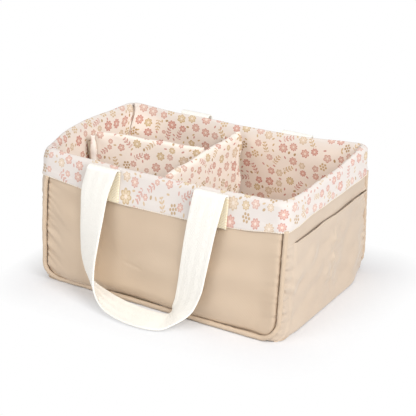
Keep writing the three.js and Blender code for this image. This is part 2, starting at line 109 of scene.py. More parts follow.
@dataclass(frozen=True)
class GatherRow:
    """Short puckers that run off a seam: sharp creases with a fold on one side, fading with the distance.

    The row has count puckers between low and high along the seam. Depth, reach, width and slope are their
    usual sizes, and each pucker's own are drawn at random round them.
    """

    low: float
    high: float
    count: int
    depth: float
    reach: float
    width: float
    slope: float
    seed: int

    def height(self, away: Array, along: Array) -> Array:
        """Adds up the puckers.

        Each is d exp(-away / reach) (0.7 exp(-(1.25 t - 1.9)^2) - exp(-1.3 |t|)), with t across it.

        Args:
            away: Distance from the seam.
            along: Distance along the seam.

        Returns:
            How far the cloth stands out.
        """
        rng = np.random.default_rng(self.seed)
        step = (self.high - self.low) / self.count
        place = self.low + step * (np.arange(self.count) + rng.uniform(0.2, 0.8, self.count))
        depth = self.depth * rng.uniform(0.35, 1.0, self.count)
        reach = self.reach * rng.uniform(0.6, 1.4, self.count)
        width = self.width * rng.uniform(0.7, 1.3, self.count)
        slope = self.slope * rng.uniform(0.4, 1.6, self.count)
        away = np.maximum(np.asarray(away, float), 0.0)[..., None]
        widening = 1.0 + 0.04 * away
        t = (np.asarray(along, float)[..., None] - place - slope * away) / (width * widening)
        crease = 0.7 * np.exp(-((1.25 * t - 1.9) ** 2)) - np.exp(-1.3 * np.abs(t))
        return (depth * np.exp(-away / reach) * crease).sum(-1)


def unit(vectors: Array) -> Array:
    """Vectors of length one."""
    return vectors / np.maximum(np.linalg.norm(vectors, axis=-1, keepdims=True), 1e-9)


def run_length(points: Array) -> Array:
    """Distance along a row of points from its first."""
    return np.concatenate([[0.0], np.cumsum(np.linalg.norm(np.diff(points, axis=0), axis=1))])


def at_length(points: Array, length: Array, at: Array) -> Array:
    """Points at given distances along a row of points with known lengths."""
    return np.stack([np.interp(at, length, column) for column in points.T], -1)


def through(points: Array, t: Array) -> Array:
    """Centripetal Catmull-Rom curve through points, with both ends carried on straight.

    Args:
        points: Points of the curve, one a row.
        t: Places on it, from 0 to 1.

    Returns:
        The curve's points.
    """
    spans = len(points) - 1
    full = np.vstack([2 * points[0] - points[1], points, 2 * points[-1] - points[-2]])
    first = np.clip(np.floor(t * spans).astype(int), 0, spans - 1)
    w = (t * spans - first)[:, None]
    p0, p1, p2, p3 = (full[first + k] for k in range(4))
    pairs = ((p0, p1), (p1, p2), (p2, p3))
    d0, d1, d2 = (np.sqrt(np.linalg.norm(b - a, axis=1))[:, None] for a, b in pairs)
    start = d1 * ((p1 - p0) / d0 - (p2 - p0) / (d0 + d1) + (p2 - p1) / d1)
    stop = d1 * ((p2 - p1) / d1 - (p3 - p1) / (d1 + d2) + (p3 - p2) / d2)
    a = 2 * p1 - 2 * p2 + start + stop
    b = -3 * p1 + 3 * p2 - 2 * start - stop
    return ((a * w + b) * w + start) * w + p1


# Meshes


@dataclass
class Surface:
    """A grid of points with the cloth coordinates that the weave and the print follow.

    A closed grid joins its last column to its first, and its cloth has one column more than its points.
    """

    points: Array
    cloth: Array
    closed: bool = False
    capped: bool = False

    def quads(self) -> tuple[Array, Array]:
        """Numbers the corners of all quads.

        Returns:
            The four corner numbers of each quad in the points, and in the cloth.
        """
        rows, cols = self.points.shape[:2]
        wide = self.cloth.shape[1]
        spans = np.arange(cols if self.closed else cols - 1)
        r, c = (a.ravel() for a in np.meshgrid(np.arange(rows - 1), spans, indexing="ij"))
        corners = ((r, c), (r, c + 1), (r + 1, c + 1), (r + 1, c))
        index = np.stack([a * cols + b % cols for a, b in corners], 1)
        inked = np.stack([a * wide + b for a, b in corners], 1)
        return index, inked


def mesh_piece(name: str, points: Array, faces: list[list[int]]) -> Piece:
    """Makes a smooth mesh object at the origin.

    Args:
        name: Name of the piece.
        points: Its points, in millimetres.
        faces: Corner numbers of its faces.

    Returns:
        The object.
    """
    mesh = bpy.data.meshes.new(name)
    mesh.from_pydata((points.reshape(-1, 3) * MM).tolist(), [], faces)
    mesh.polygons.foreach_set("use_smooth", np.ones(len(mesh.polygons), bool))
    mesh.update()
    piece = bpy.data.objects.new(name, mesh)
    bpy.context.scene.collection.objects.link(piece)
    return piece


def make_piece(name: str, surface: Surface, flip: bool = False) -> Piece:
    """Makes a mesh object of a surface, with its cloth coordinates as a UV map in metres.

    Args:
        name: Name of the piece.
        surface: Its points and cloth coordinates.
        flip: Turns its faces round.

    Returns:
        The object.
    """
    index, inked = surface.quads()
    if flip:
        index, inked = index[:, ::-1], inked[:, ::-1]
    faces = index.tolist()
    cloth = surface.cloth.reshape(-1, 2)[inked].reshape(-1, 2)
    if surface.capped:
        rows, cols = surface.points.shape[:2]
        first = np.arange(cols)
        last = (rows - 1) * cols + first
        ends = [first, last[::-1]] if flip else [first[::-1], last]
        flat = surface.cloth[:, :cols].reshape(-1, 2)
        faces += [ring.tolist() for ring in ends]
        cloth = np.vstack([cloth, flat[ends[0]], flat[ends[1]]])
    piece = mesh_piece(name, surface.points, faces)
    layer = piece.data.uv_layers.new(name=CLOTH_MAP)
    layer.data.foreach_set("uv", (cloth * MM).astype(np.float32).ravel())
    return piece


def dress(
    piece: Piece, finish: Finish, slot: str, body: str, *nodes: str, cloth: float = 0.0
) -> Piece:
    """Gives a piece its finish and seats it on a body of the frame.

    Args:
        piece: The piece.
        finish: Its finish.
        slot: Not used.
        body: The body that it moves with, or nothing to leave it unattached.
        nodes: CAD nodes that it stands for.
        cloth: Thickness that a sheet gets on the inside of its faces.

    Returns:
        The piece.
    """
    if cloth:
        solid = piece.modifiers.new("thickness", "SOLIDIFY")
        solid.thickness = cloth * MM
        solid.offset = -1.0
    piece.data.materials.append(finish.material())
    if body:
        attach(piece, body)
    if nodes:
        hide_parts(*nodes)
    return piece


def sweep(centres: Array, across: Array, normal: Array, section: Array) -> Array:
    """Carries a section along a path: centre + a across + n normal for each point (a, n) of the section.

    Args:
        centres: Points of the path.
        across: Unit vectors across it.
        normal: Unit vectors off its face.
        section: Points (a, n) of the section, the same for all stations or one set for each.

    Returns:
        A grid of points with a row for each station.
    """
    section = np.broadcast_to(section, (len(centres), *section.shape[-2:]))
    wide = section[..., :1] * across[:, None, :]
    return centres[:, None, :] + wide + section[..., 1:] * normal[:, None, :]


def turn_outwards(piece: Piece) -> None:
    """Turns the faces of a closed mesh outwards: its volume, a sum of a . (b x c) / 6, must be positive.

    Args:
        piece: The piece.
    """
    mesh = piece.data
    mesh.calc_loop_triangles()
    co = np.empty(len(mesh.vertices) * 3)
    mesh.vertices.foreach_get("co", co)
    index = np.empty(len(mesh.loop_triangles) * 3, np.int32)
    mesh.loop_triangles.foreach_get("vertices", index)
    a, b, c = np.moveaxis(co.reshape(-1, 3)[index.reshape(-1, 3)], 1, 0)
    if (a * np.cross(b, c)).sum() < 0.0:
        mesh.flip_normals()


@dataclass(frozen=True)
class StitchRow:
    """A row of stitches along a line: ovals of thread, half sunk in the cloth."""

    pitch: float = 3.0
    half_share: float = 0.43
    radius: float = 0.62
    tip: float = 0.46
    rings: int = 7
    spokes: int = 6
    look_ahead: float = 0.5

    def build(self, name: str, line: Array, up: Array) -> Piece:
        """Makes the row. A stitch is x = a sin(p), r = b cos(p) for a lean p, turned about the line.

        Args:
            name: Name of the piece.
            line: Points of the line.
            up: Unit vectors in the cloth, off the line.

        Returns:
            The piece.
        """
        length = run_length(line)
        at = np.linspace(0.0, length[-1], int(length[-1] / self.pitch), endpoint=False)
        centre, rise = at_length(line, length, at), at_length(up, length, at)
        ahead = unit(at_length(line, length, at + self.look_ahead) - centre)
        normal = unit(np.cross(ahead, rise))
        rise = np.cross(normal, ahead)
        lean = np.linspace(-self.tip, self.tip, self.rings) * math.pi
        turn = np.linspace(0.0, ROUND, self.spokes, endpoint=False)
        x, r = self.half_share * self.pitch * np.sin(lean), self.radius * np.cos(lean)
        across, off = r[:, None] * np.cos(turn), r[:, None] * np.sin(turn)
        points = centre[:, None, None] + x[:, None, None] * ahead[:, None, None]
        points = points + across[..., None] * rise[:, None, None] + off[..., None] * normal[:, None, None]
        one = Surface(points[0], np.zeros((self.rings, self.spokes + 1, 2)), closed=True)
        first = np.arange(self.spokes)
        ends = np.stack([first[::-1], (self.rings - 1) * self.spokes + first])
        step = self.rings * self.spokes * np.arange(len(at))[:, None, None]
        sides, caps = one.quads()[0][None] + step, ends[None] + step
        faces = sides.reshape(-1, 4).tolist() + caps.reshape(-1, self.spokes).tolist()
        piece = mesh_piece(name, points, faces)
        turn_outwards(piece)
        return piece


@dataclass(frozen=True)
class CoverCloth:
    """How the cotton cover of a pad behaves in Blender's cloth solver, and how long it settles."""

    frames: int = 20
    cap: float = 1.2
    settings: ClassVar[dict[str, float]] = {
        "quality": 6,
        "mass": 0.15,
        "tension_stiffness": 12.0,
        "compression_stiffness": 12.0,
        "shear_stiffness": 4.0,
        "bending_stiffness": 0.3,
        "pin_stiffness": 1.0,
        "use_pressure": True,
        "uniform_pressure_force": 2.0,
    }

    def settle(self, piece: Piece, held: Array) -> None:
        """Puffs a piece up and keeps the result in its mesh, each point moved by cap tanh(d / cap) at most.

        Args:
            piece: A mesh with no modifiers.
            held: How firmly each point stays where it is, from 0 to 1.
        """
        scene = bpy.context.scene
        mesh = piece.data
        before = np.empty(len(mesh.vertices) * 3, np.float32)
        mesh.vertices.foreach_get("co", before)
        group = piece.vertex_groups.new(name="sewn")
        for level in np.unique(np.round(held, 2)):
            if level > 0.0:
                group.add(np.flatnonzero(np.round(held, 2) == level).tolist(), float(level), "REPLACE")
        cloth = piece.modifiers.new("cloth", "CLOTH")
        for key, value in self.settings.items():
            setattr(cloth.settings, key, value)
        cloth.settings.vertex_group_mass = group.name
        cloth.settings.effector_weights.gravity = 0.0
        cloth.collision_settings.use_collision = False
        cloth.point_cache.frame_end = self.frames
        for number in range(1, self.frames + 1):
            scene.frame_set(number)
        puffed = piece.evaluated_get(bpy.context.evaluated_depsgraph_get())
        after = np.empty_like(before)
        puffed.to_mesh().vertices.foreach_get("co", after)
        puffed.to_mesh_clear()
        piece.modifiers.remove(cloth)
        piece.vertex_groups.remove(group)
        scene.frame_set(1)
        move = (after - before).reshape(-1, 3)
        size = np.maximum(np.linalg.norm(move, axis=1, keepdims=True), 1e-9)
        move *= np.tanh(size / (self.cap * MM)) * self.cap * MM / size
        mesh.vertices.foreach_set("co", (before.reshape(-1, 3) + move).astype(np.float32).ravel())
        mesh.update()


# Finishes


def linear(colour: str) -> tuple[float, ...]:
    """Linear colour of an sRGB hex value such as d8c1a7, with an alpha of 1."""
    parts = (int(colour[i : i + 2], 16) / 255.0 for i in (0, 2, 4))
    return (*(c / 12.92 if c <= 0.04045 else ((c + 0.055) / 1.055) ** 2.4 for c in parts), 1.0)


def per_metre(size: float) -> float:
    """Scale of a pattern whose parts are a size in millimetres."""
    return 1000.0 / size


def wave_scale(width: float) -> float:
    """Scale of a wave texture, with 3.2 bands a unit, and threads drawn twice as wide so that they show."""
    return 0.5 * per_metre(width) / 3.2


def add_node(
    tree: Tree, kind: str, *feeds: Any, links: dict[Any, Any] | None = None, **settings: Any
) -> Any:
    """Adds a node with its settings, and sets or links its inputs.

    Args:
        tree: The node tree.
        kind: Node type without its ShaderNode prefix, and its operation after a dot.
        feeds: For the first inputs in order, a value, or the socket or node that feeds it.
        links: The same for other inputs, by their names or numbers.
        settings: Properties of the node.

    Returns:
        The node.
    """
    kind, _, operation = kind.partition(".")
    node = tree.nodes.new("ShaderNode" + kind)
    if operation:
        node.operation = operation
    for key, value in settings.items():
        setattr(node, key, value)
    for key, value in (*enumerate(feeds), *(links or {}).items()):
        feed = value.outputs[0] if isinstance(value, bpy.types.Node) else value
        if isinstance(feed, bpy.types.NodeSocket):
            tree.links.new(feed, node.inputs[key])
        else:
            node.inputs[key].default_value = feed
    return node


def blank_material(name: str, look: dict[str, float]) -> tuple[Material, Adder, Any]:
    """Makes a material with a Principled shader that is joined to the output.

    Args:
        name: Its name.
        look: Values of the shader's inputs that are the same all over.

    Returns:
        The material, what adds a node to it, and the shader.
    """
    material = bpy.data.materials.new(name)
    material.use_nodes = True
    material.node_tree.nodes.clear()
    add = partial(add_node, material.node_tree)
    shader = add("BsdfPrincipled", links=look)
    add("OutputMaterial", links={"Surface": shader})
    return material, add, shader


def paint(add: Adder, shader: Any, colour: Any, height: Any, depth: float) -> None:
    """Joins a colour and a relief to the shader.

    Args:
        add: Adds a node.
        shader: The shader.
        colour: Socket of the colour.
        height: Socket or node of the relief's height.
        depth: The relief's depth in millimetres.
    """
    bump = add("Bump", links={"Height": height, "Distance": depth * MM, "Strength": 1.0})
    links = shader.id_data.links
    links.new(colour, shader.inputs["Base Color"])
    links.new(bump.outputs[0], shader.inputs["Normal"])


@dataclass(frozen=True)
class Satin:
    """Woven polyester satin: an even warm beige, a soft sheen and threads too fine to see one by one."""

    name: str = "woven_satin_polyester"
    colour: str = "c9b299"
    faded: str = "d0bca5"
    rib: float = 0.9
    nub: float = 1.5
    cloud: float = 45.0
    relief: float = 0.03

    def material(self) -> Material:
        """Makes the finish. The ribs of the weave are drawn wider than the real 0.3 mm, to show at all.

        Returns:
            The material.
        """
        look = {"Roughness": 0.5, "IOR": 1.46, "Sheen Weight": 0.42, "Sheen Roughness": 0.3}
        material, add, shader = blank_material(self.name, look)
        cloth = add("UVMap", uv_map=CLOTH_MAP)
        place = add("TexCoord").outputs["Object"]
        clouds = {"Vector": place, "Scale": per_metre(self.cloud), "Detail": 3.0}
        cloud = add("TexNoise", links=clouds)
        tones = {0: cloud, 6: linear(self.colour), 7: linear(self.faded)}
        tone = add("Mix", links=tones, data_type="RGBA")
        ribs = {"Vector": cloth, "Scale": wave_scale(self.rib), "Distortion": 0.4}
        rib = add("TexWave", links=ribs, wave_type="BANDS", bands_direction="DIAGONAL")
        nubs = {"Vector": place, "Scale": per_metre(self.nub), "Detail": 2.0}
        fine = add("TexNoise", links=nubs)
        mixed = add("Math.MULTIPLY_ADD", fine, 0.6, rib.outputs[1])
        paint(add, shader, tone.outputs[2], mixed, self.relief)
        return material


@dataclass(frozen=True)
class Tint:
    """Colours of a share of the print's flowers: where the share ends, the petals and their outlines."""

    until: float
    petal: str
    line: str


@dataclass(frozen=True)
class FloralCotton:
    """Plain-weave cotton with a scattered small flower print on an off-white ground: matt and soft.

    Past turned_at of its height, where it is turned out over the rim, the ground has its own tone. Both
    grounds are
    painted light: the inner walls get a lighter, warmer ground and the cuff a darker, cooler one, in place
    of the warm light that bounces round inside the caddy. Fade and turned_fade say how much the print is
    paled towards the ground on the two parts.
    """

    name: str = "printed_plain_weave_cotton"
    # Painted light: the lighter, warmer inner ground and the darker, cooler cuff ground stand in for warm
    # bounce light inside the caddy.
    ground: str = "f3e6da"
    turned: str = "dfd7d1"
    turned_at: float = 162.4
    fade: float = 0.0
    turned_fade: float = 0.19
    tints: tuple[Tint, ...] = (
        Tint(0.20, "dfbbaa", "cb8e80"),
        Tint(0.38, "e0c2b3", "cf9c8c"),
        Tint(0.54, "dbaf9f", "c68376"),
        Tint(0.64, "e4d0ba", "ceb18d"),
        Tint(0.72, "ddc7a5", "c2a16d"),
    )
    pink: str = "ce9688"
    ochre: str = "cfb085"
    brown: str = "b89669"
    spacing: float = 15.5
    filler: float = 7.6
    scatter: float = 0.62
    thread: float = 0.8
    relief: float = 0.04

    def cells(self, add: Adder, at: Any) -> dict[str, Any]:
        """Scatters motifs in Voronoi cells and gives each point its place in its motif.

        Args:
            add: Adds a node.
            at: Node of the cloth coordinates, in cells.

        Returns:
            Sockets for the distance from the motif's middle, its angle, its middle, the room round it and
            random numbers.
        """
        links = {"Vector": at, "Scale": 1.0, "Randomness": self.scatter}
        cell, room = (
            add("TexVoronoi", links=links, voronoi_dimensions="2D", feature=feature)
            for feature in ("F1", "N_SPHERE_RADIUS")
        )
        local = add("VectorMath.SUBTRACT", at, cell.outputs["Position"])
        xyz = add("SeparateXYZ", local)
        chance = add("SeparateColor", cell.outputs["Color"])
        angle = add("Math.ARCTAN2", xyz.outputs[1], xyz.outputs[0])
        turned = add("Math.MULTIPLY_ADD", chance.outputs[2], ROUND, angle)
        cos = add("Math.COSINE", turned)
        sin = add("Math.SINE", turned)
        flat = add("CombineXYZ", cos, sin)
        size = {"Scale": cell.outputs["Distance"]}
        return {
            "r": cell.outputs["Distance"],
            "angle": turned,
            "point": add("VectorMath.SCALE", flat, links=size),
            "middle": cell.outputs["Position"],
            "room": room.outputs["Radius"],
            "kind": chance.outputs[0],
            "shade": chance.outputs[1],
        }

    def flower(self, add: Adder, cell: dict[str, Any]) -> dict[str, Any]:
        """A flower of 5 to 10 petals, with its edge at room (0.62 + 0.28 |cos(petals / 2 * angle)|).

        Args:
            add: Adds a node.
            cell: Sockets from cells().

        Returns:
            Nodes for the whole flower, its petal lines and its middle, from 0 to 1.
        """
        many = add("Math.MULTIPLY_ADD", cell["shade"], 5.0, 5.0)
        petals = add("Math.ROUND", many)
        half = add("Math.MULTIPLY", petals, 0.5)
        swing = add("Math.MULTIPLY", half, cell["angle"])
        wave = add("Math.COSINE", swing)
        lobe = add("Math.ABSOLUTE", wave)
        form = add("Math.MULTIPLY_ADD", lobe, 0.28, 0.62)
        edge = add("Math.MULTIPLY", form, cell["room"])
        share = add("Math.DIVIDE", cell["r"], edge)
        whole = add("MapRange", share, 1.0, 0.92)
        rim = add("MapRange", share, 0.70, 0.82)
        part = add("MapRange", lobe, 0.42, 0.24)
        line = add("Math.MAXIMUM", rim, part)
        middle = add("MapRange", share, 0.33, 0.25)
        return {"whole": whole, "line": line, "middle": middle}

    def sprig(self, add: Adder, cell: dict[str, Any]) -> Any:
        """A sprig: slanting leaves in pairs, 0.28 of a cell apart, along a thin stem.

        Args:
            add: Adds a node.
            cell: Sockets from cells().

        Returns:
            Node that is 1 on the sprig.
        """
        apart, off = 0.28, 0.125
        xyz = add("SeparateXYZ", cell["point"])
        side = add("Math.ABSOLUTE", xyz.outputs[1])
        fold = add("Math.FLOORED_MODULO", xyz.outputs[0], apart)
        a = add("Math.SUBTRACT", fold, apart / 2.0)
        b = add("Math.SUBTRACT", side, off)
        along = add("Math.ADD", a, b)
        over = add("Math.SUBTRACT", a, b)
        point = add("CombineXYZ", along, over)
        scaled = add("VectorMath.MULTIPLY", point, (4.9, 11.0, 0.0))
        leaf = add("VectorMath.LENGTH", scaled)
        leaves = add("MapRange", leaf.outputs["Value"], 1.0, 0.8)
        stem = add("MapRange", side, 0.03, 0.015)
        drawn = add("Math.MAXIMUM", leaves, stem)
        limit = add("MapRange", cell["r"], 0.46, 0.43)
        return add("Math.MULTIPLY", drawn, limit)

    def bunch(self, add: Adder, cell: dict[str, Any]) -> Any:
        """A bunch of seven berries: one in the middle and six round it at 0.24 of a cell.

        Args:
            add: Adds a node.
            cell: Sockets from cells().

        Returns:
            Node that is 1 on the berries.
        """
        wedge = math.pi / 3.0
        fold = add("Math.FLOORED_MODULO", cell["angle"], wedge)
        angle = add("Math.SUBTRACT", fold, wedge / 2.0)
        cos = add("Math.COSINE", angle)
        sin = add("Math.SINE", angle)
        flat = add("CombineXYZ", cos, sin)
        point = add("VectorMath.SCALE", flat, links={"Scale": cell["r"]})
        away = add("VectorMath.DISTANCE", point, (0.24, 0.0, 0.0))
        near = add("Math.MINIMUM", away.outputs["Value"], cell["r"])
        return add("MapRange", near, 0.105, 0.08)

    def lay(self, add: Adder, under: Any, mask: Any, colour: Any, chance: tuple[Any, float, float]) -> Any:
        """Lays a colour over another where the mask is 1 and a random number is in its span.

        Args:
            add: Adds a node.
            under: Socket of the colour beneath.
            mask: Node of the motif's shape.
            colour: Hex value, or the socket of a colour.
            chance: Socket of the random number, and the span's low and high ends.

        Returns:
            Socket of the new colour.
        """
        value, low, high = chance
        over = add("Math.GREATER_THAN", value, low)
        below = add("Math.LESS_THAN", value, high)
        both = add("Math.MULTIPLY", over, below)
        shown = add("Math.MULTIPLY", both, mask)
        shade = linear(colour) if isinstance(colour, str) else colour
        return add("Mix", shown, links={6: under, 7: shade}, data_type="RGBA").outputs[2]

    def ramp(self, add: Adder, value: Any, colours: list[str]) -> Any:
        """Picks a colour for each share of the flowers.

        Args:
            add: Adds a node.
            value: Socket of a random number.
            colours: Hex values, one for each tint.

        Returns:
            Socket of the colour.
        """
        node = add("ValToRGB", value)
        node.color_ramp.interpolation = "CONSTANT"
        starts = [0.0] + [tint.until for tint in self.tints[:-1]]
        for i, (start, colour) in enumerate(zip(starts, colours)):
            stop = node.color_ramp.elements[i] if i < 2 else node.color_ramp.elements.new(start)
            stop.position = start
            stop.color = linear(colour)
        return node.outputs[0]

    def motifs(self, add: Adder, cloth: Any, ground: Any) -> Any:
        """Draws small buds in the free places between flowers, berry bunches and sprigs.

        Args:
            add: Adds a node.
            cloth: Node of the cloth coordinates.
            ground: Socket of the ground's colour.

        Returns:
            Socket of the printed colour.
        """
        shift, bud = (3.7, 8.1, 0.0), 0.30
        large, fine = (
            add("VectorMath.MULTIPLY_ADD", cloth, (k, k, 0.0), shift)
            for k in (per_metre(self.spacing), per_metre(self.filler))
        )
        main, small = self.cells(add, large), self.cells(add, fine)
        ratio = self.filler / self.spacing
        back = tuple(c * (1.0 - ratio) for c in shift)
        scale = (ratio, ratio, 0.0)
        spot = add("VectorMath.MULTIPLY_ADD", small["middle"], scale, back)
        under = self.cells(add, spot)
        free = add("Math.SUBTRACT", under["r"], under["room"])
        clear = add("Math.GREATER_THAN", free, 0.1)
        tone = ground
        buds = ((self.pink, 0.15, 0.0, 0.26), (self.ochre, 0.15, 0.26, 0.48), (self.brown, 0.2, 0.48, 0.58))
        for colour, wide, low, high in buds:
            scaled = add("VectorMath.MULTIPLY", small["point"], (1.0 / bud, 1.0 / wide, 0.0))
            size = add("VectorMath.LENGTH", scaled)
            shape = add("MapRange", size.outputs["Value"], 1.0, 0.8)
            shown = add("Math.MULTIPLY", shape, clear)
            tone = self.lay(add, tone, shown, colour, (small["kind"], low, high))
        sprays = (
            (self.sprig, self.ochre, 0.86, 0.94),
            (self.sprig, self.pink, 0.94, 1.1),
            (self.bunch, self.ochre, 0.72, 0.80),
            (self.bunch, self.brown, 0.80, 0.86),
        )
        for motif, colour, low, high in sprays:
            tone = self.lay(add, tone, motif(add, main), colour, (main["kind"], low, high))
        bloom = self.flower(add, main)
        span = (main["kind"], -1.0, self.tints[-1].until)
        petal = self.ramp(add, main["kind"], [tint.petal for tint in self.tints])
        line = self.ramp(add, main["kind"], [tint.line for tint in self.tints])
        drawn = add("Math.MULTIPLY", bloom["whole"], bloom["line"])
        heart = add("Math.MULTIPLY", bloom["middle"], 0.7)
        for mask, colour in ((bloom["whole"], petal), (drawn, line), (heart, self.ground)):
            tone = self.lay(add, tone, mask, colour, span)
        return tone

    def material(self) -> Material:
        """Makes the finish: the print on its ground, and the relief of warp and weft, drawn wide to show.

        Returns:
            The material.
        """
        look = {"Roughness": 0.85, "IOR": 1.5, "Specular IOR Level": 0.25, "Sheen Weight": 0.1}
        material, add, shader = blank_material(self.name, look)
        cloth = add("UVMap", uv_map=CLOTH_MAP)
        down = add("SeparateXYZ", cloth).outputs[1]
        # Painted light: the ground goes over from the lighter, warmer inner tone to the darker, cooler cuff
        # tone round the crest.
        start, stop = (self.turned_at - 16.0) * MM, (self.turned_at + 4.0) * MM
        over = add("MapRange", down, start, stop)
        sides = {6: linear(self.ground), 7: linear(self.turned)}
        ground = add("Mix", over, links=sides, data_type="RGBA").outputs[2]
        tone = self.motifs(add, cloth, ground)
        fade = add("MapRange", over, links={3: self.fade, 4: self.turned_fade})
        worn = add("Mix", fade, links={6: tone, 7: ground}, data_type="RGBA")
        threads = {"Vector": cloth, "Scale": wave_scale(self.thread), "Distortion": 0.6}
        warp, weft = (add("TexWave", links=threads, bands_direction=way) for way in "XY")
        weave = add("Math.MULTIPLY", warp.outputs[1], weft.outputs[1])
        paint(add, shader, worn.outputs[2], weave, self.relief)
        return material


@dataclass(frozen=True)
class Webbing:
    """Herringbone cotton webbing, undyed cream: matt, with slanting ribs that turn back at each band."""

    name: str = "herringbone_cotton_webbing"
    colour: str = "fefdfa"
    groove: str = "f7f1e3"
    band: float = 6.5
    rib: float = 2.0
    fuzz: float = 1.2
    relief: float = 0.12

    def material(self) -> Material:
        """Makes the finish: ribs along v + |u folded at each band|, and the fuzz of the yarn.

        Returns:
            The material.
        """
        look = {"Roughness": 0.9, "Specular IOR Level": 0.2, "Sheen Weight": 0.15}
        material, add, shader = blank_material(self.name, look)
        cloth = add("UVMap", uv_map=CLOTH_MAP)
        uv = add("SeparateXYZ", cloth)
        fold = add("Math.PINGPONG", uv.outputs[0], self.band * MM)
        slant = add("Math.ADD", uv.outputs[1], fold)
        turns = add("Math.MULTIPLY", slant, ROUND * 1000.0 / self.rib)
        wave = add("Math.SINE", turns)
        yarn = {"Vector": cloth, "Scale": per_metre(self.fuzz), "Detail": 2.0}
        high = add("Math.ADD", wave, add("TexNoise", links=yarn))
        tint = add("MapRange", high, -0.2, 0.9)
        tones = {6: linear(self.groove), 7: linear(self.colour)}
        tone = add("Mix", tint, links=tones, data_type="RGBA")
        paint(add, shader, tone.outputs[2], high, self.relief)
        return material


@dataclass(frozen=True)
class Fuzzy:
    """A matt surface with a grain: looped tape, foam, board or thread, told apart by colour and grain."""

    name: str
    colour: str
    dark: str
    grain: float
    relief: float
    roughness: float = 0.95

    def material(self) -> Material:
        """Makes the finish: noise of the grain's size in colour and relief.

        Returns:
            The material.
        """
        look = {"Roughness": self.roughness, "Specular IOR Level": 0.2}
        material, add, shader = blank_material(self.name, look)
        place = add("TexCoord").outputs["Object"]
        grains = {"Vector": place, "Scale": per_metre(self.grain), "Detail": 3.0}
        noise = add("TexNoise", links=grains)
        tones = {6: linear(self.dark), 7: linear(self.colour)}
        tone = add("Mix", noise, links=tones, data_type="RGBA")
        paint(add, shader, tone.outputs[2], noise, self.relief)
        return material


class Finish(Enum):
    """The finishes of the caddy's pieces. No part of the dividers' cloth is turned out over the rim."""

    SATIN = Satin()
    # A lighter, greyer copy of the satin for the end panels and the pockets: painted sheen, in place of the
    # sheen that the ends show at a grazing angle.
    CROSS_SATIN = Satin("satin_polyester_cut_across", "cbb7a2", "d2c1ae")
    PRINT = FloralCotton()
    # The dividers' covers lie flat over their filling. Their lighter ground and slightly paled print are
    # painted light, so that they look a little lighter than the walls.
    PAD_PRINT = FloralCotton("printed_cotton_pad_cover", "f7ece1", turned_at=1000.0, fade=0.07)
    # The back of printed cotton: the print only shows through faintly.
    WRONG_SIDE = FloralCotton("printed_cotton_wrong_side", "f9f2ea", turned_at=1000.0, fade=0.7)
    WEBBING = Webbing()
    # The sewn ends get a yellower copy of the webbing with a coarser rib: painted shade, in place of the
    # warm shade that the strap casts on them.
    REVERSE = Webbing("cotton_webbing_reverse", "faf1dc", "e6d5b0", rib=3.2)
    # A soft pale nap, matt pores, dull smooth board, and thread a little warmer than the cuff.
    TAPE = Fuzzy("looped_nylon_tape", "f1e8d8", "ddd0b8", 1.4, 0.3)
    FOAM = Fuzzy("open_cell_foam", "f4efe2", "e3d9c2", 1.8, 0.4)
    BOARD = Fuzzy("grey_board", "b8a383", "a28c6c", 6.0, 0.05, 0.8)
    THREAD = Fuzzy("spun_cotton_thread", "f6ecdc", "e6d8c2", 0.6, 0.05, 0.7)

    @cache
    def material(self) -> Material:
        """The finish's material, made at its first use."""
        return self.value.material()


# The box


class Side(Enum):
    """A side of the box: the way out of it, the way along it, and whether it is a long side."""

    FRONT = ((0.0, -1.0), (1.0, 0.0), True)
    RIGHT = ((1.0, 0.0), (0.0, 1.0), False)
    BACK = ((0.0, 1.0), (-1.0, 0.0), True)
    LEFT = ((-1.0, 0.0), (0.0, -1.0), False)

    @property
    def out(self) -> Array:
        """Unit vector out of the side, in plan."""
        return np.array(self.value[0])

    @property
    def along(self) -> Array:
        """Unit vector along the side, in plan."""
        return np.array(self.value[1])

    @property
    def long(self) -> bool:
        """True for the front and the back."""
        return self.value[2]

    @property
    def number(self) -> int:
        """Place of the side in the round from the front, from 0 to 3."""
        return list(Side).index(self)

    @property
    def word(self) -> str:
        """The side's name as the pieces use it."""
        return self.name.lower()


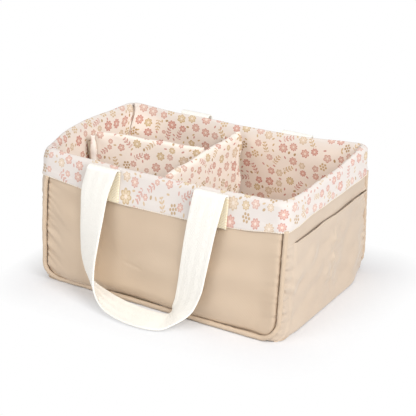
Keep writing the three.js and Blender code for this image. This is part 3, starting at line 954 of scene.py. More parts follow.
@dataclass(frozen=True)
class BoxForm:
    """Outer form of the box: straight walls that lean, rounded corners, a soft crown and a tucked-in foot.

    The crowns are how far the walls bulge, the sags how far the rim hangs in the middle of a side, and the
    tuck how far the foot is drawn in. An end has one tuck at its corners, and another between them, which
    may push it out and goes up to slow_height.
    """

    base_length: float = 328.0
    base_width: float = 224.0
    rim_length: float = 334.0
    rim_width: float = 198.0
    rim_height: float = 165.0
    corner: float = 12.0
    long_crown: float = 4.0
    end_crown: float = 1.0
    crown_run: float = 75.0
    tuck_depth: float = 6.0
    tuck_height: float = 22.0
    slow_height: float = 45.0
    right_tuck: tuple[float, float] = (1.0, -3.4)
    left_tuck: tuple[float, float] = (9.6, 3.0)
    roll_height: float = 158.55
    long_sag: float = 4.0
    end_sag: float = 1.5
    sag_start: float = 60.0
    belly: float = 10.0

    def half_length(self, z: Array) -> Array:
        """Half the length of the straight walls at a height."""
        return (self.base_length + (self.rim_length - self.base_length) * z / self.rim_height) / 2.0

    def half_width(self, z: Array) -> Array:
        """Half the width of the straight walls at a height."""
        return (self.base_width + (self.rim_width - self.base_width) * z / self.rim_height) / 2.0

    def straight(self, side: Side, z: Array) -> Array:
        """Half the straight part of a side, up to its corners."""
        return (self.half_length(z) if side.long else self.half_width(z)) - self.corner

    def away(self, side: Side, z: Array) -> Array:
        """Distance from the middle of the box out to the centre of a side's corners."""
        return (self.half_width(z) if side.long else self.half_length(z)) - self.corner

    def sag(self, side: Side, run: Array, z: Array) -> Array:
        """How far a side hangs down towards its middle, growing from sag_start to the rim."""
        most = self.long_sag if side.long else self.end_sag
        return most * self.middle(side, run, z) * ease_line(z, self.sag_start, self.roll_height)

    def middle(self, side: Side, run: Array, z: Array) -> Array:
        """1 in the middle of a side and 0 at its corners, as a parabola."""
        return 1.0 - np.clip(run / self.straight(side, z), -1.0, 1.0) ** 2

    def swell(self, side: Side, run: Array, z: Array) -> Array:
        """How far the outer cloth stands proud: crown * middle * sin(pi z / roll) less the foot's tuck.

        Args:
            side: The side.
            run: Distance along the wall.
            z: Height.

        Returns:
            The distance. Where the run goes on past a corner, the next side's crown takes over.
        """
        crown, next_crown = self.long_crown, self.end_crown
        if not side.long:
            crown, next_crown = next_crown, crown
        rise = np.sin(math.pi * np.clip(z / self.roll_height, 0.0, 1.0))
        past = np.maximum(np.abs(run) - self.straight(side, z) - self.corner * QUARTER, 0.0)
        other = next_crown * np.minimum(past / self.crown_run, 1.0)
        return (crown * self.middle(side, run, z) + other) * rise - self.tuck(side, run, z)

    def tuck(self, side: Side, run: Array, z: Array) -> Array:
        """How far the foot is drawn in: depth (1 - z / height)^2, most at the left.

        Args:
            side: The side.
            run: Distance along the wall.
            z: Height.

        Returns:
            The distance, negative where the foot stands out.
        """
        fall = np.maximum(0.0, 1.0 - z / self.tuck_height) ** 2
        slow = np.maximum(0.0, 1.0 - z / self.slow_height) ** 2
        if side.long:
            x = run * side.along[0]
            back = 4.0 * ease(x, 110.0, 165.0) * slow if side is Side.BACK else 0.0
            return self.tuck_depth * (1.6 - 1.45 * ease(x, -150.0, 190.0)) * fall + back
        corner, inner = self.right_tuck if side is Side.RIGHT else self.left_tuck
        back = 6.0 * ease(run, 60.0, 105.0) * slow if side is Side.RIGHT else 0.0
        inside = ease(self.straight(side, z) - np.abs(run), -4.0, 30.0)
        return corner * (1.0 - inside) * fall + inner * inside * slow + back

    def place(self, side: Side, run: Array, z: Array, proud: Array) -> Array:
        """A point of a side's wall, where run goes on round the corner and along the next side.

        Args:
            side: The side.
            run: Distance along the wall from the side's middle, at its outer face.
            z: Height.
            proud: Distance out of the straight wall.

        Returns:
            Points in the frame of the box.
        """
        run, z, proud = np.broadcast_arrays(*(np.asarray(a, float) for a in (run, z, proud)))
        straight = self.straight(side, z)
        over = np.maximum(np.abs(run) - straight, 0.0)
        turn = np.minimum(over / self.corner, QUARTER)
        past = np.maximum(over - self.corner * QUARTER, 0.0)
        radius = self.corner + proud
        along = np.sign(run) * (np.minimum(np.abs(run), straight) + radius * np.sin(turn))
        out = self.away(side, z) + radius * np.cos(turn) - past
        plan = along[..., None] * side.along + out[..., None] * side.out
        return np.concatenate([plan, z[..., None]], -1)

    def left_belly(self, points: Array) -> Array:
        """How far the left end bellies out: a swell in the middle of its upper half."""
        x, y, z = np.moveaxis(points, -1, 0)
        return self.belly * ease(-x, 100.0, 150.0) * ease(z, 50.0, 145.0) * np.exp(-((y / 68.0) ** 2))

    def bellied(self, side: Side, run: Array, z: Array, proud: Array) -> Array:
        """A point of a side's wall as place() gives it, with the belly of the left end."""
        flat = self.place(side, run, z, proud)
        return self.place(side, run, z, proud + self.left_belly(flat))


def rim_flare(points: Array) -> Array:
    """Soft lean of the walls: the right back corner stands out and up, the left front corner is drawn in.

    Args:
        points: Points of the walls.

    Returns:
        The moved points.
    """
    moved = points.copy()
    x, y, z = np.moveaxis(points, -1, 0)
    high = ease(z, 90.0, 160.0)
    right = high * np.exp(-(((x - 165.0) / 60.0) ** 2) - ((y - 98.0) / 50.0) ** 2)
    left = high * np.exp(-(((x + 150.0) / 70.0) ** 2) - ((y - 98.0) / 40.0) ** 2)
    drawn = ease(-x, 110.0, 165.0) * ease(-y, 30.0, 100.0)
    cuff = ease(z, 122.0, 140.0)
    waist = 2.0 * ease(z, 30.0, 75.0) * (1.0 - cuff)
    drawn = drawn * (3.0 - waist + 2.7 * cuff + 3.5 * ease(z, 150.0, 164.0))
    moved[..., 0] += 0.8 * right + drawn
    moved[..., 1] += 1.0 * right
    moved[..., 2] += 4.5 * right - 2.6 * left
    return moved


@dataclass(frozen=True)
class SeamLine:
    """The piping's line round a long panel: down the corners, round the lower corners and along the foot.

    The leans are its turn round each corner at the foot and at the rim, in degrees from the long side:
    front left, front right, back right and back left.
    """

    form: BoxForm = BoxForm()
    leans: tuple[tuple[float, float], ...] = ((29.0, 2.0), (50.0, 50.0), (42.0, 48.0), (42.0, 48.0))
    lean_low: float = 20.0
    lean_high: float = 132.0
    height: float = 3.0
    corner: float = 22.0

    def turn(self, side: Side, end: int, z: Array) -> Array:
        """How far round the corner at a side's end, -1 or 1, the line runs."""
        low, high = self.leans[(side.number + (end > 0)) % 4]
        return np.radians(low + (high - low) * ease_line(z, self.lean_low, self.lean_high))

    def inset(self, z: Array) -> Array:
        """How far the rounded lower corner draws the line in: r - sqrt(r^2 - d^2)."""
        below = np.clip(self.height + self.corner - z, 0.0, self.corner)
        return self.corner - np.sqrt(self.corner**2 - below**2)

    def half_run(self, side: Side, z: Array, end: int) -> Array:
        """Distance along the wall from a side's middle to the line.

        Args:
            side: The side.
            z: Height.
            end: The side's end, -1 or 1.

        Returns:
            The distance.
        """
        turn = self.turn(side, end, z)
        if side.long:
            return self.form.straight(side, z) + self.form.corner * turn - self.inset(z)
        return self.form.straight(side, z) + self.form.corner * (QUARTER - turn) + self.inset(z)


def edge_spread(count: int) -> Array:
    """Places from -1 to 1 that lie closer together towards both ends: 0.55 x + 0.45 sin(pi x / 2)."""
    x = np.linspace(-1.0, 1.0, count)
    return 0.55 * x + 0.45 * np.sin(QUARTER * x)


@dataclass(frozen=True)
class Shell:
    """The satin outer shell: four panels, the piping round the long ones and the end pockets.

    Rows are the numbers of grid rows round the lower corners and above them. The slit is the crease that
    the end panels have behind the free lip of a pocket.
    """

    form: BoxForm = BoxForm()
    seam: SeamLine = SeamLine()
    cloth: float = 1.2
    panel_top: float = 150.0
    panel_rows: tuple[int, int] = (24, 88)
    long_cols: int = 170
    end_cols: int = 150
    pipe_radius: float = 2.75
    pipe_proud: float = 1.6
    pipe_top: float = 132.5
    pipe_rows: tuple[int, int, int] = (44, 18, 90)
    pipe_spokes: int = 14
    groove: float = 3.4
    groove_half: float = 3.0
    pocket_top: float = 112.0
    pocket_proud: float = 1.5
    pocket_rows: tuple[int, int] = (24, 76)
    pocket_gape: float = 1.1
    hem_width: float = 11.0
    slit: float = 0.75
    slit_depth: float = 2.6

    def wrinkles(self, side: Side, run: Array, z: Array, edge: Array) -> Array:
        """Folds of a panel: soft swells all over and short gathers off its seams.

        A long panel also has one short slanting dent, and an end panel a pressed fold line down its middle.

        Args:
            side: The panel's side.
            run: Distance along the wall.
            z: Height.
            edge: Distance of each point to the nearer seam.

        Returns:
            How far the cloth stands out.
        """
        seed = 20 * side.number
        calm = ease(edge, 0.0, 30.0)
        if side.long:
            soft = 1.9 * drift(run, z * 0.9, 120.0, seed + 1)
            soft = soft + 0.45 * drift(run * 0.8, z * 1.3, 50.0, seed + 2)
            left = GatherRow(14.0, 128.0, 15, 3.0, 13.0, 3.0, -0.55, seed + 3)
            right = GatherRow(12.0, 122.0, 9, 1.5, 9.0, 2.6, -0.2, seed + 4)
            row = np.where(run < 0.0, left.height(edge, z), right.height(edge, z))
            low = GatherRow(-140.0, 140.0, 16, 0.8, 9.0, 4.0, 0.1, seed + 5)
            foot = low.height(z - self.seam.height, run)
            dent = np.exp(-(((z - 48.0 + 0.16 * (run + 29.0)) / 1.6) ** 2) - ((run + 29.0) / 13.0) ** 2)
            return soft * calm + row * ease(edge, 0.0, 4.0) + foot * ease(z, 4.0, 9.0) - 0.7 * dent
        still = 1.0 - 0.75 * ease(z, 78.0, 108.0)
        soft = (1.0 * drift(run, z, 80.0, seed + 1) + 0.6 * drift(run, z * 1.4, 34.0, seed + 2)) * still
        rows = [GatherRow(6.0, 110.0, 14, 6.4, 8.0, 2.6, -0.35, seed + 6 + i) for i in range(2)]
        row = np.where(run < 0.0, rows[0].height(edge, z), rows[1].height(edge, z))
        across = run - 11.0 - 0.03 * z
        pressed = 0.9 * np.exp(-((across / 2.6) ** 2)) * (0.8 + 0.9 * drift(run, z, 18.0, seed + 8))
        crumple = 0.6 * drift(run * 0.6, z, 12.0, seed + 9) * np.exp(-((across / 20.0) ** 2)) * still
        soft = soft * calm * ease(z, 2.0, 26.0) + row * ease(edge, 0.0, 2.0)
        return soft + (pressed + crumple) * ease(z, 5.0, 30.0) * still

    def panel(self, side: Side, top: float, proud: float, rows: tuple[int, int]) -> tuple[Array, ...]:
        """Grid of a panel between its seams.

        Args:
            side: Its side.
            top: Height of its upper edge.
            proud: How far it stands out of the wall.
            rows: Number of rows round the lower corners and above them.

        Returns:
            The distance along the wall, the height, the distance to the seam and how far each point stands
            out.
        """
        low = self.seam.height + self.seam.corner
        bend = self.seam.corner * (1.0 - np.cos(np.linspace(0.0, QUARTER, rows[0])))
        z = np.concatenate([self.seam.height + bend, np.linspace(low, top, rows[1])[1:]])
        if top > self.pocket_top and not side.long:
            z = np.sort(np.concatenate([z, self.pocket_top + np.linspace(-0.9, 2.1, 9)]))
        z = z[:, None]
        spread = edge_spread(self.long_cols if side.long else self.end_cols)[None, :]
        ends = [self.seam.half_run(side, z, end) for end in (-1, 1)]
        half = np.where(spread < 0.0, *ends)
        run = half * spread
        z = np.broadcast_to(z, run.shape)
        edge = half - np.abs(run)
        if not side.long:
            z = z - (self.seam.height - 0.5) * (1.0 - ease(z, self.seam.height, 14.0))
        out = proud + self.form.swell(side, run, z) + self.wrinkles(side, run, z, edge)
        if not side.long:
            out = out - 2.0 * np.maximum(0.0, 1.0 - z / 4.0) ** 2
        return run, z, edge, out

    def pocket_loose(self, side: Side, run: Array, edge: Array) -> Array:
        """Where the top of a pocket is free, from 0 to 1: it is sewn down further in at its front end."""
        ends = np.where(run * (1.0 if side is Side.RIGHT else -1.0) < 0.0, 17.0, 3.0)
        return ease(edge, ends, ends + 6.0)

    def pocket_lip(self, run: Array) -> Array:
        """Height of the pocket's top edge, which wavers a little."""
        return self.pocket_top + 0.35 * drift(run, 0.0 * run, 60.0, 58)

    def build_panels(self) -> list[Piece]:
        """Makes the four panels. Along the piping the long panels dip into a groove.

        Returns:
            The panels.
        """
        made = []
        for side in Side:
            run, z, edge, out = self.panel(side, self.panel_top, 0.0, self.panel_rows)
            if side.long:
                deep = self.groove * (1.0 - 0.45 * (run < 0.0) * (1.0 - ease(z, 70.0, 112.0)))
                out = out - deep * np.exp(-((edge / self.groove_half) ** 2))
                foot = 0.7 * self.groove * np.exp(-(((z - self.seam.height) / self.groove_half) ** 2))
                out = out - foot * ease(edge, 0.0, 6.0)
            else:
                below = self.pocket_lip(run) + self.slit - z
                crease = ease(below, -0.1, 1.0) * (1.0 - ease(below, 3.0, 14.0))
                out = out - self.slit_depth * crease * self.pocket_loose(side, run, edge)
            under = ease(z, 118.0, 130.0)
            out = out * (1.0 - under) + under * np.minimum(out, self.form.swell(side, run, z) - 0.2)
            points = self.form.bellied(side, run, z, out)
            name = side.word + ("_panel" if side.long else "_end_panel")
            piece = make_piece(name + "_cloth", Surface(rim_flare(points), np.stack([run, z], -1)))
            # The end panels take the lighter, greyer satin: painted sheen.
            finish = Finish.SATIN if side.long else Finish.CROSS_SATIN
            dress(piece, finish, "shell", "shell", name, cloth=self.cloth)
            mid = np.array(80.0)
            wide = sum(float(self.seam.half_run(side, mid, end)) for end in (-1, 1))
            made.append(piece)
        return made

    def build_piping(self) -> list[Piece]:
        """Makes the piping: a cord covered with the shell's cloth, its round section a little gathered.

        It runs down from one top, round the corner, along the foot and up again.

        Returns:
            Both pipings.
        """
        made = []
        seam = self.seam
        low = seam.height + seam.corner
        straight, bent, level = self.pipe_rows
        bend = low - seam.corner * np.sin(np.linspace(0.0, QUARTER, bent)[1:])
        down = np.concatenate([np.linspace(self.pipe_top, low, straight), bend])
        for side, seed in ((Side.FRONT, 91), (Side.BACK, 92)):
            first, last = (seam.half_run(side, down, end) for end in (1, -1))
            foot = np.linspace(first[-1], -last[-1], level)[1:-1]
            run = np.concatenate([first, foot, -last[::-1]])
            z = np.concatenate([down, np.full(len(foot), seam.height), down[::-1]])
            proud = self.pipe_proud + self.form.swell(side, run, z)
            centres = self.form.place(side, run, z, proud)
            normal = unit(self.form.place(side, run, z, proud + 1.0) - centres)
            ahead = unit(np.gradient(centres, axis=0))
            across = unit(np.cross(ahead, normal))
            length = run_length(centres)
            angle = np.linspace(0.0, ROUND, self.pipe_spokes, endpoint=False)
            ripple = 1.0 + 0.05 * drift(length[:, None], angle[None, :] * 4.0, 9.0, seed)
            section = self.pipe_radius * ripple[..., None] * np.stack([np.cos(angle), np.sin(angle)], -1)
            points = rim_flare(sweep(centres, across, normal, section))
            points[..., 2] = np.maximum(points[..., 2], 0.2)
            turn = np.append(angle, ROUND) * self.pipe_radius
            cloth = np.stack(np.broadcast_arrays(turn[None, :], length[:, None]), -1)
            name = side.word + "_piping"
            piece = make_piece(name + "_cord", Surface(points, cloth, closed=True, capped=True))
            made.append(dress(piece, Finish.SATIN, "shell", "shell", name))
        return made

    def build_pockets(self) -> list[Piece]:
        """Makes the slip pockets: a sheet sewn into the seams, loose and slightly gaping at its hemmed top.

        Returns:
            Both pockets.
        """
        made = []
        top = self.pocket_top
        stitched = top - self.hem_width
        for side in (Side.LEFT, Side.RIGHT):
            run, z, edge, out = self.panel(side, top, self.pocket_proud, self.pocket_rows)
            loose = self.pocket_loose(side, run, edge)
            gape = self.pocket_gape * loose * ease(z, 78.0, top)
            sway = 0.3 * drift(run, z * 0.3, 34.0, 57) * ease(z, 85.0, top) * loose
            hem = 0.12 * ease(z, stitched - 0.8, stitched + 0.8)
            out = out + (0.15 - self.pocket_proud) * (1.0 - loose) + gape + sway + hem * loose
            height = z + (self.pocket_lip(run) - top) * ease(z, 90.0, top) * loose
            points = self.form.bellied(side, run, height, out)
            name = side.word + "_pocket"
            piece = make_piece(name + "_cloth", Surface(rim_flare(points), np.stack([run, z], -1)))
            # The pockets take the lighter, greyer satin: painted sheen.
            dress(piece, Finish.CROSS_SATIN, "shell", "shell", name, cloth=self.cloth)
            flat = (2.0 * float(np.abs(run[-1]).max()) * MM, (top + self.hem_width) * MM)
            made.append(piece)
        return made


# The base and the lining


@dataclass(frozen=True)
class Base:
    """The base: the shell's flat foot, the stiffening board and the loose padded mat.

    The rings give the section of the foot and of the mat: share of the outline, and height.
    """

    form: BoxForm = BoxForm()
    mat_bottom: float = 4.8
    mat_inset: float = 12.2
    foot_inset: float = 5.0
    foot_push: float = 6.5
    arc_points: int = 9
    outline_points: int = 240
    foot_rings: tuple[tuple[float, float], ...] = (
        *((0.02, 0.0), (0.3, 0.0), (0.6, 0.0), (0.85, 0.0), (0.97, 0.0), (0.99, 0.1), (1.0, 0.5)),
        *((1.0, 0.9), (0.99, 1.3), (0.97, 1.4), (0.85, 1.4), (0.6, 1.4), (0.3, 1.4), (0.02, 1.4)),
    )
    mat_rings: tuple[tuple[float, float], ...] = (
        *((0.02, 4.8), (0.4, 4.8), (0.8, 4.8), (0.95, 4.8), (0.985, 4.9), (1.0, 5.6), (0.99, 6.3)),
        *((0.97, 6.8), (0.93, 7.2), (0.85, 7.4), (0.6, 7.5), (0.3, 7.5), (0.02, 7.5)),
    )

    def plate(
        self, inset: float, z: float, rings: tuple[tuple[float, float], ...], push: float = 0.0
    ) -> Surface:
        """A flat closed pad: rings of a rounded rectangle, each scaled by its share and at its height.

        Args:
            inset: Distance of the rectangle inside the straight walls.
            z: Height at which the walls are taken.
            rings: Share and height of each ring, from the middle of the underside to that of the top.
            push: How far the right end stands out towards the front.

        Returns:
            The surface.
        """
        x = float(self.form.half_length(z)) - inset
        y = float(self.form.half_width(z)) - inset
        r = max(2.0, self.form.corner - inset * 0.5)
        parts = []
        for cx, cy, start in ((1, -1, -90.0), (1, 1, 0.0), (-1, 1, 90.0), (-1, -1, 180.0)):
            angle = np.radians(np.linspace(start, start + 90.0, self.arc_points))
            arc = np.stack([cx * (x - r) + r * np.cos(angle), cy * (y - r) + r * np.sin(angle)], -1)
            parts.append(arc)
        closed = np.concatenate([*parts, parts[0][:1]])
        length = run_length(closed)
        even = np.linspace(0.0, length[-1], self.outline_points, endpoint=False)
        outline = at_length(closed, length, even)
        x, y = outline.T
        outline[:, 0] += push * ease(x, 90.0, 158.0) * (1.0 - 1.7 * ease(y, 40.0, 95.0))
        shares, heights = np.array(rings).T
        plan = outline[None, :, :] * shares[:, None, None]
        level = np.broadcast_to(heights[:, None, None], (*plan.shape[:2], 1))
        cloth = np.concatenate([plan, plan[:, :1]], 1)
        return Surface(np.concatenate([plan, level], -1), cloth, closed=True, capped=True)

    def build(self) -> list[Piece]:
        """Makes the foot and the mat, and gives the board its finish.

        Returns:
            The pieces.
        """
        plate = self.plate(self.foot_inset, 0.0, self.foot_rings, self.foot_push)
        foot = make_piece("base_foot", plate)
        dress(foot, Finish.SATIN, "shell", "shell", "base_panel")
        mat = make_piece("base_mat_pad", self.plate(self.mat_inset, self.mat_bottom, self.mat_rings))
        dress(mat, Finish.PRINT, "print", "shell", "base_mat")
        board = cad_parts["base_board"]
        board.data.materials.clear()
        board.data.materials.append(Finish.BOARD.material())
        return [foot, mat]


@dataclass(frozen=True)
class Lining:
    """The printed lining: up the inside of the padded walls, over the rim and down the outside as a cuff.

    The seam is the narrow slot in each inner corner, and the fill is how far the padding pushes the lining
    out of the filled corners. The slack hangs forwards at the left back corner, and the hem is turned up.
    """

    form: BoxForm = BoxForm()
    stitches: StitchRow = StitchRow()
    wall: float = 11.2
    cuff: float = 1.7
    crest: float = 3.2
    shoulder: float = 131.0
    foot: float = 4.8
    hem: float = 133.0
    long_hem_sag: float = 7.0
    end_hem_sag: float = 0.5
    cloth: float = 1.1
    cloth_height: float = 145.0
    mitre: float = math.radians(45.0)
    seam_depth: float = 8.5
    seam_half: float = 1.45
    crease_depth: float = 3.0
    crease_half: float = 0.9
    fill: float = 4.5
    fill_reach: float = 11.0
    filled: tuple[tuple[float, float], ...] = ((1.0, -1.0), (1.0, 1.0), (-1.0, -1.0))
    slack: float = 16.0
    slack_at: tuple[float, float] = (-157.0, 88.0)
    slack_reach: float = 32.0
    wall_rows: int = 26
    rim_rows: int = 33
    cuff_rows: int = 22
    corner_cols: int = 12
    long_cols: int = 76
    end_cols: int = 52
    order: tuple[Side, ...] = (Side.LEFT, Side.FRONT, Side.RIGHT, Side.BACK)

    def inner_face(self, z: Array) -> Array:
        """How far the inner face lies inside the wall: an ellipse from the crest down to the shoulder."""
        rise = np.clip((z - self.shoulder) / (self.form.rim_height - self.shoulder), 0.0, 1.0)
        return self.crest + (self.wall - self.crest) * np.sqrt(1.0 - rise**2)

    def profile(self) -> tuple[Array, Array, Array]:
        """The lining's section from foot to hem: up, over the rim as two quarter ellipses, and down.

        Returns:
            The height, the distance out of the wall, and the share, 0 on the wall and 1 on the cuff.
        """
        form = self.form
        inner = np.linspace(self.foot, self.shoulder, self.wall_rows)
        angle = np.linspace(0.0, math.pi, self.rim_rows)[1:]
        outside = angle > QUARTER
        low = np.where(outside, form.roll_height, self.shoulder)
        over_z = low + (form.rim_height - low) * np.sin(angle)
        half = np.where(outside, self.crest + self.cuff, self.wall - self.crest)
        over_out = -self.crest - half * np.cos(angle)
        down = np.linspace(form.roll_height, self.hem, self.cuff_rows)[1:]
        z = np.concatenate([inner, over_z, down])
        out = np.concatenate([np.full(len(inner), -self.wall), over_out, np.full(len(down), self.cuff)])
        over = np.linspace(0.0, 1.0, self.rim_rows)[1:]
        share = np.concatenate([np.zeros(len(inner)), over, np.ones(len(down))])
        return z, out, share

    def ring(self, side: Side) -> tuple[Array, Array]:
        """Stations of a side between its mitres, closer together towards the seams.

        Args:
            side: The side.

        Returns:
            The share of the straight part, from -1 to 1, and the turn round the corner.
        """
        count = self.long_cols if side.long else self.end_cols
        turn = self.mitre * (1.0 - np.linspace(0.0, 1.0, self.corner_cols) ** 1.8)
        end = np.ones(self.corner_cols - 1)
        s = np.concatenate([-end, np.linspace(-1.0, 1.0, count), end])
        bend = np.concatenate([-turn[:-1], np.zeros(count), turn[-2::-1]])
        return s, bend

    def half_cloth(self, side: Side) -> float:
        """Half the straight length of a side's cloth."""
        return float(self.form.straight(side, np.array(self.cloth_height)))

    def side_points(self, side: Side, first: bool) -> tuple[Array, Array]:
        """Points and cloth distance of a side's part of the ring, with its soft folds and its thicker hem.

        Args:
            side: The side.
            first: True where its first station is kept, which the side before otherwise has.

        Returns:
            The grid of points, with a row for each place of the profile, and the distance along the wall.
        """
        form = self.form
        s, bend = self.ring(side)
        if not first:
            s, bend = s[1:], bend[1:]
        height, out, share = (a[:, None] for a in self.profile())
        run = s[None, :] * form.straight(side, height) + form.corner * bend[None, :]
        z = np.broadcast_to(height, run.shape)
        middle = form.middle(side, run, z)
        low = ease_line(form.roll_height - z, 0.0, form.roll_height - self.hem) * share
        hem_sag = self.long_hem_sag if side.long else self.end_hem_sag
        rim_sag = form.long_sag if side.long else form.end_sag
        outer = middle * (rim_sag + (hem_sag - rim_sag) * low) + low * self.hem_drop(side, run)
        drop = np.where(share >= 1.0, outer, form.sag(side, run, z))
        seed = 200 + 10 * side.number
        total = run + 400.0 * side.number
        level = z - drop + 0.5 * drift(total, 0.0 * total, 90.0, seed) * ease(share, 0.0, 0.4) * middle
        swell = form.swell(side, run, z) * ease(share, 0.7, 1.0)
        inner = (1.0 - share) ** 2 * ease(z, 5.0, 60.0)
        soft = inner * (0.5 + 0.45 * drift(total, z, 64.0, seed + 1)) * middle
        wave = (0.5 + 0.45 * drift(total, z * 0.4, 55.0, seed + 2)) * low * ease(middle, 0.0, 0.3)
        above = z - self.hem
        fold = 0.5 * (1.0 - ease(above, 7.5, 9.0)) - 0.9 * np.exp(-above / 0.9)
        fold = np.where(share >= 1.0, fold, 0.0)
        proud = out + swell + np.maximum(soft, 0.0) + np.maximum(wave, 0.0) + fold
        points = form.bellied(side, run, level, proud)
        points = self.sewn_corner(side, points, bend, form.corner + proud, share)
        x, y, z = np.moveaxis(points, -1, 0)
        slack = self.slack * ease(z, 60.0, 128.0) * (1.0 - ease(z, 128.0, 162.0))
        apart = (x - self.slack_at[0]) ** 2 + (y - self.slack_at[1]) ** 2
        points[..., 1] -= slack * np.exp(-apart / self.slack_reach**2) * (share < 0.5)
        return rim_flare(self.fill_corners(points, share)), s * self.half_cloth(side) + form.corner * bend

    def hem_drop(self, side: Side, run: Array) -> Array:
        """How much further the hem hangs: most along the front, and at the right end's back corner.

        Args:
            side: The side.
            run: Distance along the wall.

        Returns:
            The distance down.
        """
        if side is Side.FRONT:
            return 1.2 + 4.7 * ease(run, -130.0, -60.0) - 2.5 * ease(run, 105.0, 155.0)
        if side is Side.RIGHT:
            return 3.4 * (1.0 - ease(run, -100.0, -55.0)) + 3.5 * ease(run, 30.0, 95.0)
        if side is Side.BACK:
            return 3.5 * ease(-run, 100.0, 155.0)
        return 1.2 * ease(run, 40.0, 95.0)

    def sewn_corner(self, side: Side, points: Array, bend: Array, radius: Array, share: Array) -> Array:
        """Draws the lining into the seam of each inner corner: a narrow slot that closes at the crest.

        In a frame with d along the corner's diagonal and w across it, the first half of the stations follow
        the arc up to the slot's half width, and the others run into the slot to (arc + depth, 0).

        Args:
            side: The side.
            points: Points of its part of the ring.
            bend: Turn of each station.
            radius: Radius of each point's corner arc.
            share: 0 on the inner wall, rising to 1 over the rim.

        Returns:
            The moved points.
        """
        part = np.abs(bend)[None, :] / self.mitre
        z = points[..., 2]
        radius = np.maximum(radius, 0.3)
        room = np.maximum(self.mitre - self.seam_half / radius, 0.0)
        angle = self.mitre - room * np.minimum(2.0 * part, 1.0)
        into = np.clip(2.0 * part - 1.0, 0.0, 1.0)
        depth = self.seam_depth * (1.0 - ease(share, 0.38, 0.5))
        d = radius * np.cos(angle) + depth * into**0.7
        w = radius * np.sin(angle) * (1.0 - into**2)
        sign = np.sign(bend)[None, :]
        along = sign * (self.form.straight(side, z) + (d - w) / math.sqrt(2.0))
        out = self.form.away(side, z) + (d + w) / math.sqrt(2.0)
        plan = along[..., None] * side.along + out[..., None] * side.out
        inside = ((part > 0.0) & (share < 0.5))[..., None]
        moved = points.copy()
        moved[..., :2] = np.where(inside, plan, points[..., :2])
        near = radius * np.sin(self.mitre * (1.0 - part))
        crease = np.exp(-((near / self.crease_half) ** 2)) * ease(share, 0.25, 0.45)
        moved[..., 2] -= self.crease_depth * (crease * (1.0 - ease(share, 0.5, 0.7)))
        return moved

    def fill_corners(self, points: Array, share: Array) -> Array:
        """Pushes the lining inwards at the inner corners, where the padding bunches up under the rim.

        Each point moves along the corner's diagonal by fill exp(-(distance / reach)^2).

        Args:
            points: Points of a side's part of the ring.
            share: 0 on the inner wall, rising to 1 over the rim.

        Returns:
            The moved points.
        """
        moved = points.copy()
        x, y, z = np.moveaxis(points, -1, 0)
        high = ease(z, 20.0, 70.0) * (1.0 - ease(share, 0.5, 0.9))
        for sign_x, sign_y in self.filled:
            mid_x = sign_x * (self.form.half_length(z) - self.wall)
            mid_y = sign_y * (self.form.half_width(z) - self.wall)
            apart = (x - mid_x) ** 2 + (y - mid_y) ** 2
            push = self.fill * high * np.exp(-apart / self.fill_reach**2) / math.sqrt(2.0)
            moved[..., 0] -= sign_x * push
            moved[..., 1] -= sign_y * push
        return moved

    def build(self) -> list[Piece]:
        """Makes the lining as one ring with a seam in each inner corner, and the stitches of its hem.

        Returns:
            The lining and the stitches.
        """
        grids, lengths, start = [], [], 0.0
        for i, side in enumerate(self.order):
            points, run = self.side_points(side, first=i == 0)
            half = self.half_cloth(side) + self.form.corner * self.mitre
            grids.append(points)
            lengths.append(run + start + half)
            start += 2.0 * half
        points = np.concatenate(grids, 1)[:, :-1]
        along = np.concatenate(lengths)
        z, out, _ = self.profile()
        down = run_length(np.stack([z, out], -1))
        cloth = np.stack(np.broadcast_arrays(along[None, :], down[:, None]), -1)
        piece = make_piece("printed_lining", Surface(points, cloth, closed=True), flip=True)
        names = [side.word + "_lining" for side in self.order]
        dress(piece, Finish.PRINT, "print", "shell", *names, cloth=self.cloth)
        # The stitches lie between the hem's last two rows, and a row higher up gives their way up.
        low = 0.5 * (points[-1] + points[-2])
        line, above = (np.vstack([row, row[:1]]) for row in (low, points[-5]))
        stitches = self.stitches.build("cuff_hem_stitches", line, unit(above - line))
        return [piece, dress(stitches, Finish.THREAD, "print", "shell")]


@dataclass(frozen=True)
class WallPadding:
    """The padding in each wall: a soft sheet of foam with a rounded top, between shell and lining.

    The faces are distances inside the wall, and the gap keeps the foam off the lining.
    """

    lining: Lining = Lining()
    foot: float = 6.0
    top: float = 148.0
    crown: float = 1.3
    crown_face: float = 6.8
    outer_face: float = 5.4
    inner_face: float = 9.4
    gap: float = 1.8
    end_gap: float = 1.0
    drop: float = 0.6
    most_tuck: float = 2.4
    rows: int = 14
    crown_rows: int = 9
    cols: int = 30

    def build(self) -> list[Piece]:
        """Makes the four pads: up the outer face, over a half-round crown and down the inner face.

        Returns:
            The pads.
        """
        form = self.lining.form
        outer = np.linspace(self.foot, self.top, self.rows)
        inner = outer[::-1]
        angle = np.linspace(math.pi, 0.0, self.crown_rows)[1:-1]
        z = np.concatenate([outer, self.top + self.crown * np.sin(angle), inner])[:, None]
        over = -(self.crown_face + self.crown * np.cos(angle))
        back = np.maximum(self.gap - self.lining.inner_face(inner), -self.inner_face)
        face = np.concatenate([np.full(self.rows, -self.outer_face), over, back])[:, None]
        outside = np.arange(len(z))[:, None] < self.rows
        around = run_length(np.stack([z[:, 0], face[:, 0]], -1))
        made = []
        for side in Side:
            run = np.linspace(-1.0, 1.0, self.cols)[None, :] * (form.straight(side, z) - self.end_gap)
            level = np.broadcast_to(z, run.shape)
            proud = face + outside * np.clip(form.swell(side, run, level), -self.most_tuck, 0.0)
            level = level - form.sag(side, run, level) - self.drop
            points = np.swapaxes(form.bellied(side, run, level, proud), 0, 1)
            cloth = np.stack(np.broadcast_arrays(run[0][:, None], around[None, :]), -1)
            cloth = np.concatenate([cloth, cloth[:, :1]], 1)
            piece = make_piece(side.word + "_padding", Surface(points, cloth, closed=True, capped=True))
            dress(piece, Finish.FOAM, "foam", "shell", side.word + "_foam")
            made.append(piece)
        return made


# The handles


